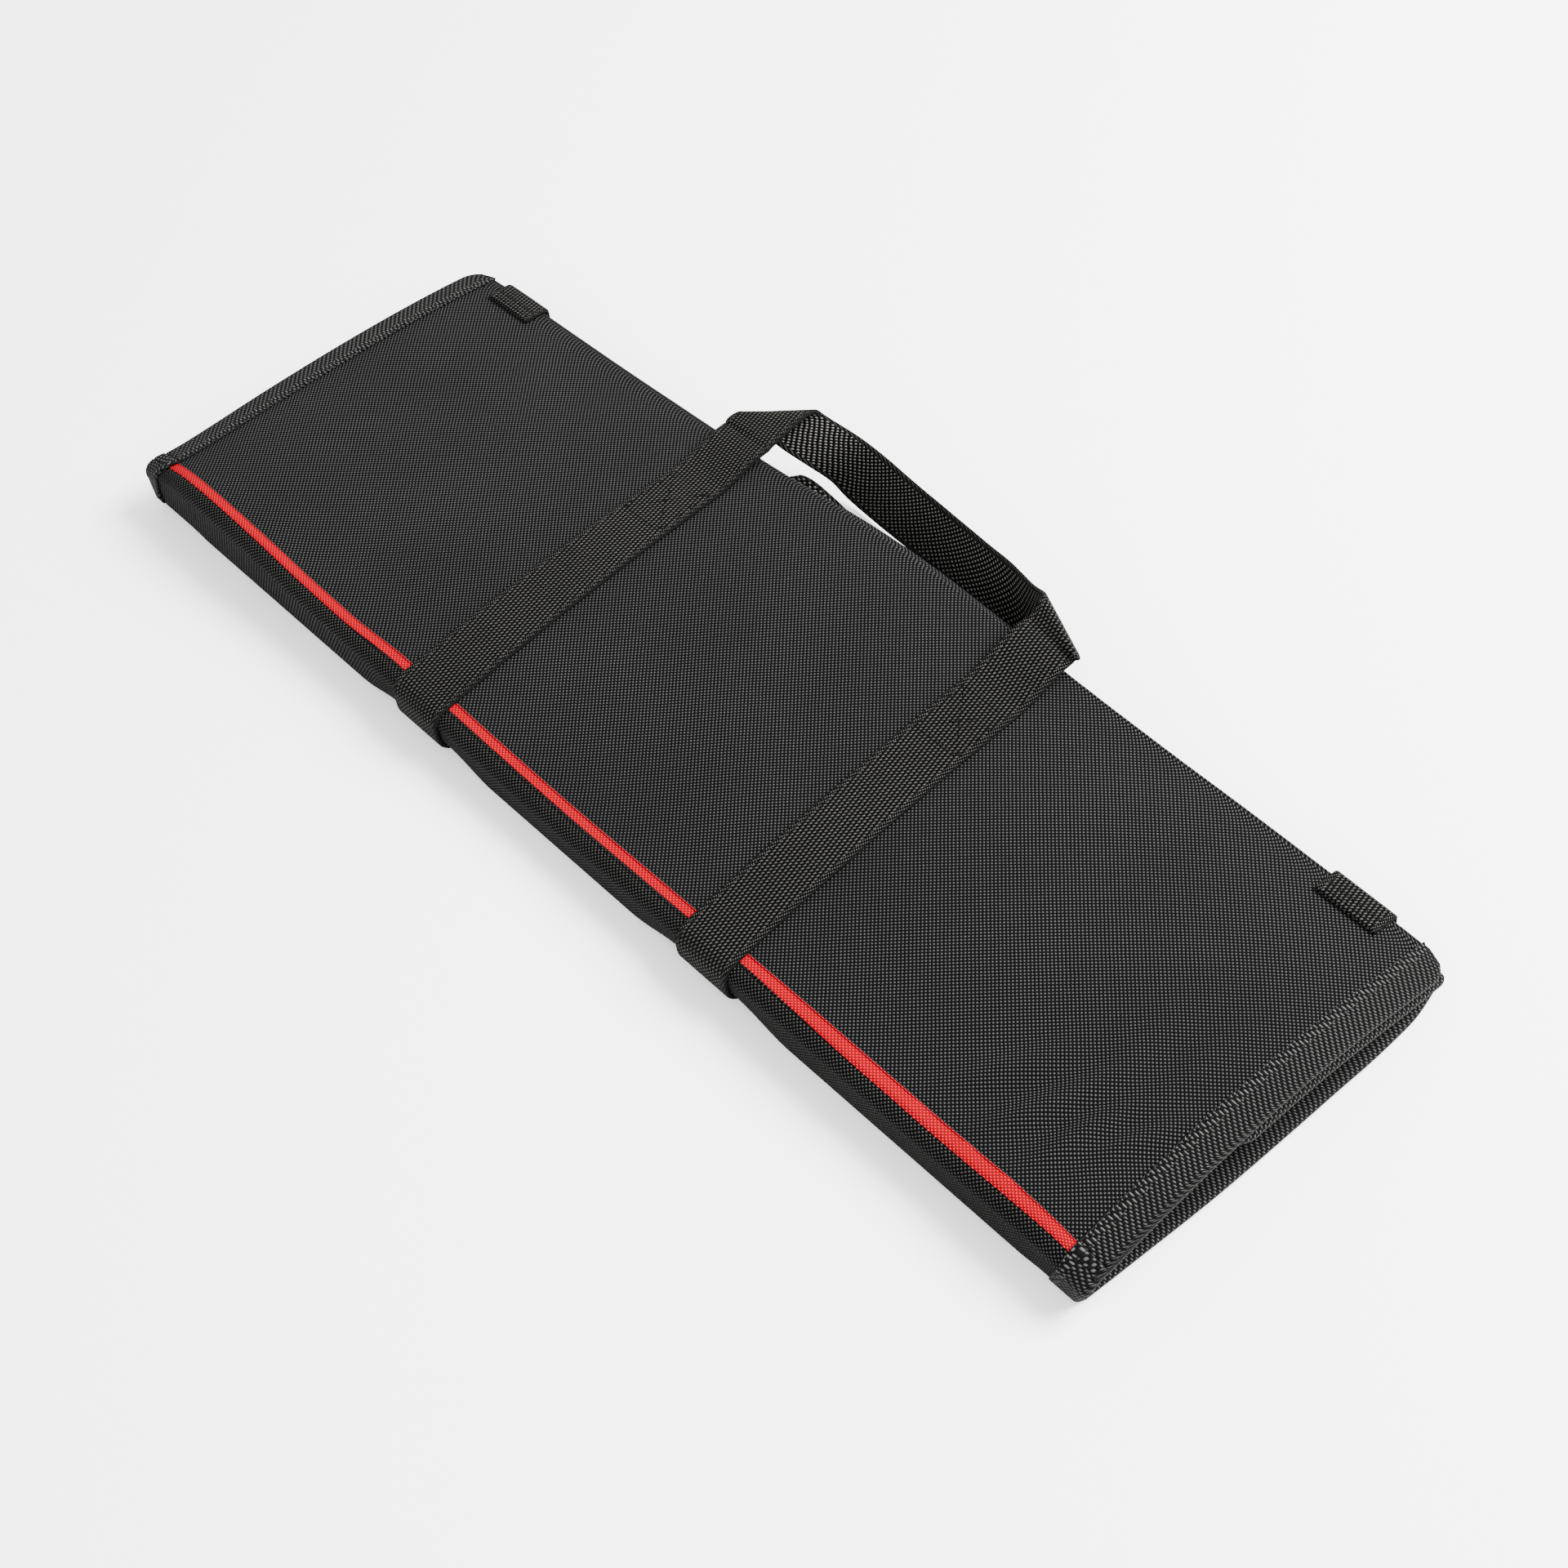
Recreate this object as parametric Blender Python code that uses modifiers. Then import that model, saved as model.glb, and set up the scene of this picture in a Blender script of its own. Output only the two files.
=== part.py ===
"""Folded chef knife roll: a cloth case of stiff panels, bound at both ends, carried by webbing.

X runs along the length, Y from the spine to the open back edge, Z up, metres.
The case lies shut on Z = 0: base panel, inner flap folded over it, top cover above,
with the webbing handles lying loose behind the back edge.
"""
from math import cos, pi, sin, sqrt

import bmesh
import bpy
from mathutils import Vector

# Driving sizes of the case
CASE_LENGTH = 0.501         # over both end bindings, where they stand out most
CASE_DEPTH = 0.162          # spine face to the cover's back edge
CASE_HEIGHT = 0.022         # height at the spine that the height tables are shares of
PANEL_WALL = 0.0020         # stiffened cloth
END_CORNER = 0.009          # plan radius of the free corners
END_EASE = 0.0085           # unit of the table that lets the ends stand in
SPINE_RADIUS = 0.0045       # cover to spine
BASE_RADIUS = 0.0030        # spine to base
STRAP_PINCH = 0.0040        # how much the straps add to BASE_RADIUS
TRIM_WIDTH = 0.0050         # red trim beside the spine
COVER_EDGE = 0.0090         # spine face to the cover's sewn edge
FLAP_DEPTH = 0.098          # inner flap, from the back fold to its free edge
NOSE_REACH = 0.0066         # how far the back fold stands out behind the cover at mid length
FOLD_GAP = 0.0035           # between cover and flap at the back edge
FLAP_GAP = 0.0009           # between cover and flap at the flap's free edge
BASE_SEAM = 0.024           # base to folded flap, in front of the cover's back edge

# Webbing and ribbon
WEB_WIDTH = 0.025
WEB_WALL = 0.0016
STRAP_SPACING = 0.154       # between the two straps' centre lines
STRAP_LIFT = 0.0050         # straps stand off the cover at its back edge
SEWN_REACH = 0.126          # spine edge of the cover to the end of the sewn boxes
STRAP_SLANT = -0.0020       # straps lean this far along the length by the back edge
HANDLE_REACH = 0.0327       # how far the handle lies behind the back edge
LOWER_LEAN = 0.0042         # how much less the lower handle reaches at its right end
RIBBON_WIDTH = 0.0108       # end binding, on each face
RIBBON_WALL = 0.0008
TAB_REACH = 0.010           # closure tab on the cover
TAB_INSET = 0.0365          # end of the case to a tab's centre line
TAB_DROP = 0.010            # closure tab down the back edge

CLEARANCE = 0.0003          # between neighbouring pieces
SEAM_GAP = 0.0006           # between cloth edges that meet round a bend

# Places that follow from the sizes
FRONT = -(CASE_DEPTH + HANDLE_REACH + WEB_WALL + CLEARANCE) / 2
SPINE_Y = FRONT + WEB_WALL + CLEARANCE
COVER_Y = SPINE_Y + COVER_EDGE
BACK_Y = SPINE_Y + CASE_DEPTH
COVER_DEPTH = BACK_Y - COVER_Y
SEAM_Y = BACK_Y - BASE_SEAM
STRAP_LAYER = WEB_WALL + CLEARANCE
RIBBON_LAYER = RIBBON_WALL + CLEARANCE
CORNER_STEPS = (1.0, 0.65, 0.35, 0.12, 0.0)     # rows through a rounded corner

# Height of the cover's outer face, rows along the length.
# Columns: place along the length, then heights at the spine edge, halfway and the back edge
# as shares of CASE_HEIGHT, then the back fold's reach as a share of NOSE_REACH.
COVER_ROWS = (
    (0.00, 0.98, 1.06, 0.80, -0.18),
    (0.05, 1.22, 1.17, 0.89, -0.15),
    (0.13, 1.19, 1.17, 0.91, -0.08),
    (0.20, 1.05, 1.16, 0.94, 0.05),
    (0.33, 0.94, 1.15, 1.05, 0.55),
    (0.48, 0.79, 1.12, 1.29, 1.00),
    (0.60, 0.83, 1.12, 1.23, 0.85),
    (0.72, 0.89, 1.11, 1.00, 0.40),
    (0.86, 0.86, 1.10, 0.81, -0.05),
    (0.95, 0.91, 1.09, 0.66, -0.15),
    (0.975, 0.86, 1.03, 0.61, -0.17),
    (1.00, 0.72, 0.90, 0.48, -0.18),
)

# How far the ends stand in from half of CASE_LENGTH, as shares of END_EASE.
# Columns: place from spine to back edge, then the cover's left end, the cover's right end
# and both ends of the base.
END_ROWS = (
    (0.00, 0.00, 0.53, 1.00),
    (0.12, 0.20, 0.52, 0.78),
    (0.35, 0.33, 0.49, 0.40),
    (0.65, 0.36, 0.38, 0.14),
    (0.88, 0.40, 0.20, 0.03),
    (1.00, 0.48, 0.10, 0.48),
)

# Diagonal folds where the upper handle leaves each strap.
# Columns for the inner edge, then the outer edge of the webbing: run towards the other strap
# in web widths, reach behind the back edge as a share of HANDLE_REACH, and height as a share
# of CASE_HEIGHT.
LEFT_FOLD = (
    (0.49, 0.09, 1.41, -0.50, 0.06, 1.37),
    (0.46, 0.36, 1.43, -0.49, 0.13, 1.39),
    (0.42, 0.64, 1.43, -0.47, 0.18, 1.39),
    (0.40, 0.82, 1.38, -0.46, 0.21, 1.34),
    (0.46, 0.89, 1.28, -0.36, 0.23, 1.23),
    (0.60, 0.93, 1.20, -0.02, 0.26, 1.13),
    (0.80, 0.96, 1.15, 0.36, 0.31, 0.97),
    (1.06, 0.98, 1.12, 0.68, 0.45, 0.67),
    (1.38, 0.98, 1.10, 0.92, 0.60, 0.34),
    (1.82, 0.95, 1.09, 1.26, 0.64, 0.09),
    (2.36, 0.90, 1.09, 2.00, 0.60, 0.05),
)
RIGHT_FOLD = (
    (0.50, 0.08, 1.45, -0.50, 0.04, 1.38),
    (0.48, 0.16, 1.48, -0.53, 0.04, 1.43),
    (0.48, 0.26, 1.56, -0.55, 0.04, 1.46),
    (0.50, 0.34, 1.64, -0.56, 0.05, 1.45),
    (0.56, 0.42, 1.60, -0.52, 0.09, 1.38),
    (0.68, 0.50, 1.45, -0.33, 0.18, 1.26),
    (0.85, 0.57, 1.29, 0.03, 0.24, 1.08),
    (1.07, 0.63, 1.17, 0.34, 0.32, 0.73),
    (1.33, 0.69, 1.11, 0.60, 0.39, 0.38),
    (1.65, 0.74, 1.09, 0.92, 0.45, 0.12),
    (2.05, 0.77, 1.08, 1.56, 0.47, 0.05),
)

# The lower handle lies flat: same columns, but heights are in layers of webbing.
LOWER_FOLD = (
    (0.50, -0.10, 0.5, -0.50, -0.32, 0.5),
    (0.47, 0.15, 0.7, -0.50, -0.30, 0.5),
    (0.40, 0.36, 1.2, -0.50, -0.29, 0.7),
    (0.32, 0.46, 1.9, -0.50, -0.28, 0.9),
    (0.38, 0.50, 2.5, -0.44, -0.28, 1.2),
    (0.62, 0.52, 2.6, -0.08, -0.28, 1.2),
    (1.00, 0.51, 2.1, 0.44, -0.28, 1.2),
    (1.50, 0.48, 1.3, 1.02, -0.29, 1.0),
    (2.20, 0.45, 0.6, 1.70, -0.30, 0.6),
)

MATERIALS = {
    "panel_cloth": ((0.030, 0.030, 0.032), 0.78),
    "spine_cloth": ((0.018, 0.018, 0.019), 0.85),
    "trim_cloth": ((0.720, 0.024, 0.030), 0.62),
    "webbing": ((0.034, 0.034, 0.033), 0.72),
    "ribbon": ((0.026, 0.026, 0.026), 0.60),
}


def clear_scene():
    for item in list(bpy.data.objects):
        bpy.data.objects.remove(item, do_unlink=True)


def make_material(name):
    colour, roughness = MATERIALS[name]
    material = bpy.data.materials.new(name)
    material.use_nodes = True
    shader = material.node_tree.nodes["Principled BSDF"]
    shader.inputs["Base Color"].default_value = (*colour, 1.0)
    shader.inputs["Roughness"].default_value = roughness
    shader.inputs["Metallic"].default_value = 0.0
    return material


def ease(share):
    """Smooth step from 0 to 1."""
    share = min(max(share, 0.0), 1.0)
    return share * share * (3 - 2 * share)


def mix(low, high, share):
    return low + (high - low) * share


def table_value(rows, share, column):
    """A column of a table at a share of its first column, on a smooth curve through the rows."""
    share = min(max(share, 0.0), 1.0)
    last = len(rows) - 1
    index = 0
    while index < last - 1 and share > rows[index + 1][0]:
        index += 1
    here, ahead = rows[index], rows[index + 1]
    before, after = rows[max(index - 1, 0)], rows[min(index + 2, last)]
    span = ahead[0] - here[0]
    part = (share - here[0]) / span
    slope_here = (ahead[column] - before[column]) / (ahead[0] - before[0]) * span
    slope_ahead = (after[column] - here[column]) / (after[0] - here[0]) * span
    square, cube = part * part, part ** 3
    return ((2 * cube - 3 * square + 1) * here[column] + (cube - 2 * square + part) * slope_here
            + (3 * square - 2 * cube) * ahead[column] + (cube - square) * slope_ahead)


def cover_top(x, y):
    """Height of the cover's outer face: a shallow arch from the spine to the back edge."""
    share = x / CASE_LENGTH + 0.5
    spine, middle, back = (table_value(COVER_ROWS, share, column) * CASE_HEIGHT for column in (1, 2, 3))
    across = (y - COVER_Y) / COVER_DEPTH
    return (spine * (1 - across) * (1 - 2 * across) + middle * 4 * across * (1 - across)
            + back * across * (2 * across - 1))


def strap_nearness(x):
    """1 over a strap, falling to 0 within one more web width."""
    distance = abs(abs(x) - STRAP_SPACING / 2) - WEB_WIDTH / 2
    return 1 - ease((distance - CLEARANCE * 5) / WEB_WIDTH)


def base_lift(x, y):
    """The base sags to the ground, and lies over the straps, the lower handle and its bindings."""
    from_end = CASE_LENGTH / 2 - RIBBON_WIDTH * 3.1
    over_ribbon = ease((abs(x) - from_end) / RIBBON_WIDTH) * RIBBON_LAYER
    outside = abs(x) - (STRAP_SPACING + WEB_WIDTH) / 2
    over_handle = 1 - ease((outside - CLEARANCE * 5) / WEB_WIDTH)
    behind = ease((y - (SEAM_Y - WEB_WIDTH)) / WEB_WIDTH)
    two_layers = 2 * STRAP_LAYER + CLEARANCE
    return max(strap_nearness(x) * STRAP_LAYER, over_handle * behind * two_layers, over_ribbon)


def base_radius(x):
    """The bend from spine to base, drawn rounder by the straps."""
    return BASE_RADIUS + STRAP_PINCH * strap_nearness(x)


def flap_middle(x, y):
    """Mid surface of the inner flap, just under the cover, with room for both bindings."""
    free_edge = BACK_Y - FLAP_DEPTH
    along = min(max((y - free_edge) / FLAP_DEPTH, 0.0), 1.0)
    near_end = ease((abs(x) - (CASE_LENGTH / 2 - 3.6 * RIBBON_WIDTH)) / (1.5 * RIBBON_WIDTH))
    gap = mix(mix(FLAP_GAP, FOLD_GAP, along), max(FOLD_GAP, 2 * RIBBON_LAYER + CLEARANCE), near_end)
    return cover_top(x, y) - 1.5 * PANEL_WALL - gap


def top_path(x, y_from, y_to, steps):
    """Mid surface of the cover or trim between two depths."""
    return [Vector((x, y, cover_top(x, y) - PANEL_WALL / 2))
            for y in (mix(y_from, y_to, step / steps) for step in range(steps + 1))]


def front_arc(x, offset, start, end, steps):
    """Quarter round from the top to the spine face. start and end are shares of the quarter."""
    centre_y = SPINE_Y + SPINE_RADIUS
    centre_z = cover_top(x, centre_y) - SPINE_RADIUS
    radius = SPINE_RADIUS + offset
    turns = [mix(start, end, step / steps) * pi / 2 for step in range(steps + 1)]
    return [Vector((x, centre_y - radius * sin(turn), centre_z + radius * cos(turn))) for turn in turns]


def base_arc(x, offset, steps):
    """Quarter round from the spine face to the base."""
    bend = base_radius(x)
    centre = Vector((x, SPINE_Y + bend, base_lift(x, SPINE_Y) + bend))
    radius = bend + offset
    turns = [step / steps * pi / 2 for step in range(steps + 1)]
    return [centre + Vector((0, -radius * cos(turn), -radius * sin(turn))) for turn in turns]


def between(first, last, steps):
    """Points strictly between two ends of a straight stretch."""
    return [first.lerp(last, step / steps) for step in range(1, steps)]


def trim_share():
    """Share of the quarter round that the trim's front edge reaches."""
    flat = COVER_EDGE - CLEARANCE - SPINE_RADIUS
    return (TRIM_WIDTH - flat) / (SPINE_RADIUS * pi / 2)


def trim_path(x):
    arc = front_arc(x, -PANEL_WALL / 2, 0.0, trim_share(), 2)
    return top_path(x, COVER_Y - CLEARANCE, SPINE_Y + SPINE_RADIUS, 2)[:-1] + arc


def spine_path(x):
    seam = trim_share() + SEAM_GAP / (SPINE_RADIUS * pi / 2)
    arc = front_arc(x, -PANEL_WALL / 2, seam, 1.0, 5)
    corner = base_arc(x, -PANEL_WALL / 2, 3)
    return arc + between(arc[-1], corner[0], 4) + corner


def base_path(x):
    start = SPINE_Y + base_radius(x) + CLEARANCE
    depths = [mix(start, SEAM_Y - WEB_WIDTH, step / 4) for step in range(5)]
    depths += [mix(SEAM_Y - WEB_WIDTH, SEAM_Y, step / 4) for step in range(1, 5)]
    return [Vector((x, y, base_lift(x, y) + PANEL_WALL / 2)) for y in depths]


def nose_y(x):
    """Mid surface of the back fold at its furthest."""
    reach = table_value(COVER_ROWS, x / CASE_LENGTH + 0.5, 4)
    return BACK_Y - PANEL_WALL / 2 + NOSE_REACH * reach


def flap_path(x):
    """From the seam under the back edge, round the fold and over to the flap's free edge."""
    low = base_lift(x, BACK_Y) + PANEL_WALL / 2
    half = (flap_middle(x, nose_y(x)) - low) / 2
    centre_y = nose_y(x) - half
    half = (flap_middle(x, centre_y) - low) / 2
    start = SEAM_Y + CLEARANCE
    lower = [Vector((x, mix(start, centre_y, step / 2), low)) for step in range(2)]
    turns = [step / 8 * pi for step in range(9)]
    nose = [Vector((x, centre_y + half * sin(turn), low + half - half * cos(turn))) for turn in turns]
    free_edge = BACK_Y - FLAP_DEPTH
    depths = [mix(centre_y, free_edge, step / 6) for step in range(1, 7)]
    upper = [Vector((x, y, flap_middle(x, y))) for y in depths]
    return lower + nose + upper


def length_stations():
    """Places along the length: closer together at the bindings and beside the straps."""
    half = CASE_LENGTH / 2
    marks = [0.0, STRAP_SPACING / 8, STRAP_SPACING / 2, half]
    for side in (-1, 1):
        edge = STRAP_SPACING / 2 + side * WEB_WIDTH / 2
        marks += [edge + side * WEB_WIDTH * turn for turn in (0, 0.3, 0.6, 1.1)]
    marks += [half - RIBBON_WIDTH * turn for turn in (1, 2, 2.8, 3.6)]
    outer = STRAP_SPACING / 2 + WEB_WIDTH * 1.6
    marks += [mix(outer, half - 3.6 * RIBBON_WIDTH, step / 5) for step in range(1, 5)]
    marks = sorted(set(round(mark / half, 6) for mark in marks))
    return [-mark for mark in reversed(marks) if mark > 0] + marks


def corner_setback(distance):
    """How much shorter the sheet is at a small distance from its free, rounded edge."""
    if distance >= END_CORNER:
        return 0.0
    inside = END_CORNER - max(distance, 0.0)
    return END_CORNER - sqrt(END_CORNER ** 2 - inside ** 2)


def sheet_end(side, free_edge, point):
    """Where a sheet ends at one side: between the cover's end and the base's, by its height."""
    across = (point.y - SPINE_Y) / CASE_DEPTH
    top = cover_top(0.0, point.y) - PANEL_WALL
    lower = min(max((top - point.z) / (top - PANEL_WALL), 0.0), 1.0)
    cover_column = 1 if side < 0 else 2
    inset = mix(table_value(END_ROWS, across, cover_column), table_value(END_ROWS, across, 3), lower)
    reach = CASE_LENGTH / 2 - RIBBON_LAYER - inset * END_EASE
    if free_edge is not None:
        reach -= corner_setback(abs(point.y - free_edge))
    return side * reach


def new_object(name, mesh, material, parts):
    item = bpy.data.objects.new(name, mesh)
    item.data.materials.append(material)
    parts.objects.link(item)
    return item


def grid_mesh(name, rows):
    """An open surface through rows of points. Its faces look along row step x column step."""
    shape = bmesh.new()
    points = [[shape.verts.new(point) for point in row] for row in rows]
    for near, far in zip(points, points[1:]):
        for left in range(len(near) - 1):
            shape.faces.new((near[left], near[left + 1], far[left + 1], far[left]))
    mesh = bpy.data.meshes.new(name)
    shape.to_mesh(mesh)
    shape.free()
    mesh.shade_smooth()
    return mesh


def add_wall(item, thickness):
    wall = item.modifiers.new("wall", "SOLIDIFY")
    wall.thickness = thickness
    wall.offset = 0.0
    wall.use_even_offset = True
    wall.use_quality_normals = True


def panel(name, path, free_edge, material, parts):
    """A sheet of cloth: the same path across the case at each station along its length."""
    rows = []
    for index, point in enumerate(path(0.0)):
        left, right = (sheet_end(side, free_edge, point) for side in (-1, 1))
        rows.append([path(mix(left, right, (station + 1) / 2))[index] for station in length_stations()])
    item = new_object(name, grid_mesh(name, rows), material, parts)
    add_wall(item, PANEL_WALL)
    return item


def cover_path(x):
    depths = [mix(COVER_Y, BACK_Y - END_CORNER, step / 9) for step in range(10)]
    depths += [BACK_Y - END_CORNER * share for share in CORNER_STEPS[1:]]
    return [Vector((x, y, cover_top(x, y) - PANEL_WALL / 2)) for y in depths]


def flap_sheet_path(x):
    """The flap with closer rows at its rounded free corners."""
    rows = flap_path(x)
    free_edge = BACK_Y - FLAP_DEPTH
    depths = [free_edge + END_CORNER * share for share in CORNER_STEPS]
    return rows[:-1] + [Vector((x, y, flap_middle(x, y))) for y in depths]


def binding_sections(side):
    """U sections of the ribbon round the ends of cover, trim, spine, base, fold and flap."""
    def whole_path(x):
        return (list(reversed(cover_path(x))) + trim_path(x) + spine_path(x)
                + base_path(x)[1:] + flap_sheet_path(x))

    middle = whole_path(0.0)
    cover_count = len(cover_path(0.0))
    flap_count = len(CORNER_STEPS)
    sections = []
    for index, point in enumerate(middle):
        free_edge = None
        if index < cover_count:
            free_edge = BACK_Y
        elif index >= len(middle) - flap_count:
            free_edge = BACK_Y - FLAP_DEPTH
        lip = []
        for x in (sheet_end(side, None, point) - side * RIBBON_WIDTH, sheet_end(side, free_edge, point)):
            line = whole_path(x)
            before, after = line[max(index - 1, 0)], line[min(index + 1, len(line) - 1)]
            along = (after - before).normalized()
            lip.append((line[index], Vector((0, along.z, -along.y))))
        (inner, inner_out), (outer, outer_out) = lip
        near, far = PANEL_WALL / 2 + CLEARANCE, PANEL_WALL / 2 + RIBBON_LAYER
        seat, face = Vector((side * CLEARANCE, 0, 0)), Vector((side * RIBBON_LAYER, 0, 0))
        sections.append([
            inner - inner_out * far, outer - outer_out * far + face,
            outer + outer_out * far + face, inner + inner_out * far,
            inner + inner_out * near, outer + outer_out * near + seat,
            outer - outer_out * near + seat, inner - inner_out * near,
        ])
    return sections


def loft(name, sections, material, parts):
    """A closed body through like sections, each a ring of points."""
    shape = bmesh.new()
    rings = [[shape.verts.new(point) for point in section] for section in sections]
    count = len(rings[0])
    for near, far in zip(rings, rings[1:]):
        for index in range(count):
            ahead = (index + 1) % count
            shape.faces.new((near[index], near[ahead], far[ahead], far[index]))
    for ring in (rings[0], rings[-1]):
        for low, high in ((0, 1), (1, 2), (2, 3)):
            shape.faces.new((ring[low], ring[high], ring[7 - high], ring[7 - low]))
    bmesh.ops.recalc_face_normals(shape, faces=shape.faces)
    mesh = bpy.data.meshes.new(name)
    shape.to_mesh(mesh)
    shape.free()
    return new_object(name, mesh, material, parts)


def strap_height(x, y):
    """Mid surface of a strap on the cover, which leaves it behind the sewn box."""
    free = ease((y - COVER_Y - SEWN_REACH) / (COVER_DEPTH - SEWN_REACH))
    return cover_top(x, y) + CLEARANCE + WEB_WALL / 2 + STRAP_LIFT * free


def lean(y):
    """How far the straps have leaned along the length at a depth on the cover."""
    return STRAP_SLANT * max(y - SPINE_Y, 0.0) / CASE_DEPTH


def strap_path(x):
    """Under the base, up the spine and over the cover to its back edge."""
    offset = CLEARANCE + WEB_WALL / 2
    start = SEAM_Y - CLEARANCE
    low = WEB_WALL / 2
    under = [Vector((x, mix(start, SPINE_Y + base_radius(x), step / 4), low)) for step in range(4)]
    corner = list(reversed(base_arc(x, offset, 4)))
    arc = list(reversed(front_arc(x, offset, 0.0, 1.0, 5)))
    depths = [mix(SPINE_Y + SPINE_RADIUS, COVER_Y + SEWN_REACH, step / 6) for step in range(1, 7)]
    depths += [mix(COVER_Y + SEWN_REACH, BACK_Y, step / 5) for step in range(1, 6)]
    over = [Vector((x + lean(y), y, strap_height(x + lean(y), y))) for y in depths]
    return under + corner + between(corner[-1], arc[0], 3) + arc + over


def strap(name, centre, material, parts):
    """Webbing as wide as WEB_WIDTH: three lines of points, level across where it bends."""
    middle = strap_path(centre)
    sides = [strap_path(centre + side * WEB_WIDTH / 2) for side in (-1, 1)]
    rows = []
    for index, point in enumerate(middle):
        rows.append([sides[0][index], point, sides[1][index]])
    item = new_object(name, grid_mesh(name, rows), material, parts)
    add_wall(item, WEB_WALL)
    return item


def upper_points(row, side):
    """Edges of the upper handle at a row of a fold table, mirrored for the right strap."""
    centre = side * STRAP_SPACING / 2 + STRAP_SLANT
    points = []
    for run, reach, height in (row[0:3], row[3:6]):
        points.append(Vector((centre - side * run * WEB_WIDTH, BACK_Y + reach * HANDLE_REACH,
                              height * CASE_HEIGHT)))
    return points


def lower_points(row, side):
    """Edges of the lower handle at a row of its table, with heights in layers of webbing."""
    centre = side * STRAP_SPACING / 2
    back = BACK_Y - (LOWER_LEAN if side > 0 else 0.0)
    points = []
    for run, reach, layers in (row[0:3], row[3:6]):
        points.append(Vector((centre - side * run * WEB_WIDTH, back + reach * HANDLE_REACH,
                              layers * STRAP_LAYER)))
    return points


def ribbon_rows(edges, columns):
    """Straight lines across the webbing, from its inner to its outer edge."""
    return [[inner.lerp(outer, column / columns) for column in range(columns + 1)]
            for inner, outer in edges]


def handle(name, left, right, run_steps, material, parts):
    """Webbing from one strap to the other: a fold, a straight run and the other fold."""
    run = []
    for step in range(1, run_steps):
        share = step / run_steps
        run.append([left[-1][edge].lerp(right[-1][edge], share) for edge in (0, 1)])
    edges = left + run + list(reversed(right))
    item = new_object(name, grid_mesh(name, ribbon_rows(edges, 3)), material, parts)
    add_wall(item, WEB_WALL)
    return item


def strap_end(side):
    """Edges of a strap's upper end, where the handle takes over."""
    ends = []
    for edge in (-side, side):
        x = side * STRAP_SPACING / 2 + STRAP_SLANT + edge * WEB_WIDTH / 2
        ends.append(Vector((x, BACK_Y + SEAM_GAP, strap_height(x, BACK_Y))))
    return ends


def under_end(side):
    """Edges of a strap's lower end, where the lower handle takes over."""
    centre = side * STRAP_SPACING / 2
    return [Vector((centre + edge * WEB_WIDTH / 2, SEAM_Y, WEB_WALL / 2)) for edge in (-side, side)]


def tab(name, centre, material, parts):
    """Closure tab: up the back fold, over the cover's back edge and onto the cover."""
    offset = CLEARANCE + WEB_WALL / 2
    rows = []
    for x in (centre - WEB_WIDTH / 2, centre, centre + WEB_WIDTH / 2):
        behind = max(BACK_Y, nose_y(x) + PANEL_WALL / 2) + offset
        top = cover_top(x, BACK_Y)
        line = [Vector((x, behind, top - TAB_DROP)), Vector((x, behind, top - TAB_DROP / 2))]
        radius = offset
        for turn in (0, pi / 6, pi / 3, pi / 2):
            line.append(Vector((x, behind - radius + radius * cos(turn), top + radius * sin(turn))))
        for share in (0.3, 0.65, 1.0):
            y = mix(BACK_Y, BACK_Y - TAB_REACH, share)
            line.append(Vector((x, y, cover_top(x, y) + offset)))
        rows.append(line)
    across = [list(points) for points in zip(*rows)]
    item = new_object(name, grid_mesh(name, across), material, parts)
    add_wall(item, WEB_WALL)
    return item


def build():
    clear_scene()
    parts = bpy.data.collections.new("chef_knife_roll")
    bpy.context.scene.collection.children.link(parts)
    cloth = {name: make_material(name) for name in MATERIALS}

    panel("top_cover", cover_path, BACK_Y, cloth["panel_cloth"], parts)
    panel("red_trim", trim_path, None, cloth["trim_cloth"], parts)
    panel("spine_strip", spine_path, None, cloth["spine_cloth"], parts)
    panel("base_panel", base_path, None, cloth["panel_cloth"], parts)
    panel("inner_flap", flap_sheet_path, BACK_Y - FLAP_DEPTH, cloth["panel_cloth"], parts)

    for side, place in ((-1, "left"), (1, "right")):
        loft("end_binding_" + place, binding_sections(side), cloth["ribbon"], parts)
        strap("strap_" + place, side * STRAP_SPACING / 2, cloth["webbing"], parts)
        tab("closure_tab_" + place, side * (CASE_LENGTH / 2 - TAB_INSET), cloth["webbing"], parts)

    upper = [[strap_end(-1)] + [upper_points(row, -1) for row in LEFT_FOLD],
             [strap_end(1)] + [upper_points(row, 1) for row in RIGHT_FOLD]]
    handle("handle_upper", upper[0], upper[1], 4, cloth["webbing"], parts)
    lower = [[under_end(side)] + [lower_points(row, side) for row in LOWER_FOLD] for side in (-1, 1)]
    handle("handle_lower", lower[0], lower[1], 3, cloth["webbing"], parts)


build()
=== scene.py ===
"""Looks of the folded chef knife roll: woven panels, ribbon, red trim and webbing, in metres."""
from math import cos, pi, sin

import bpy
import numpy as np
from mathutils import Matrix, Vector


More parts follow.
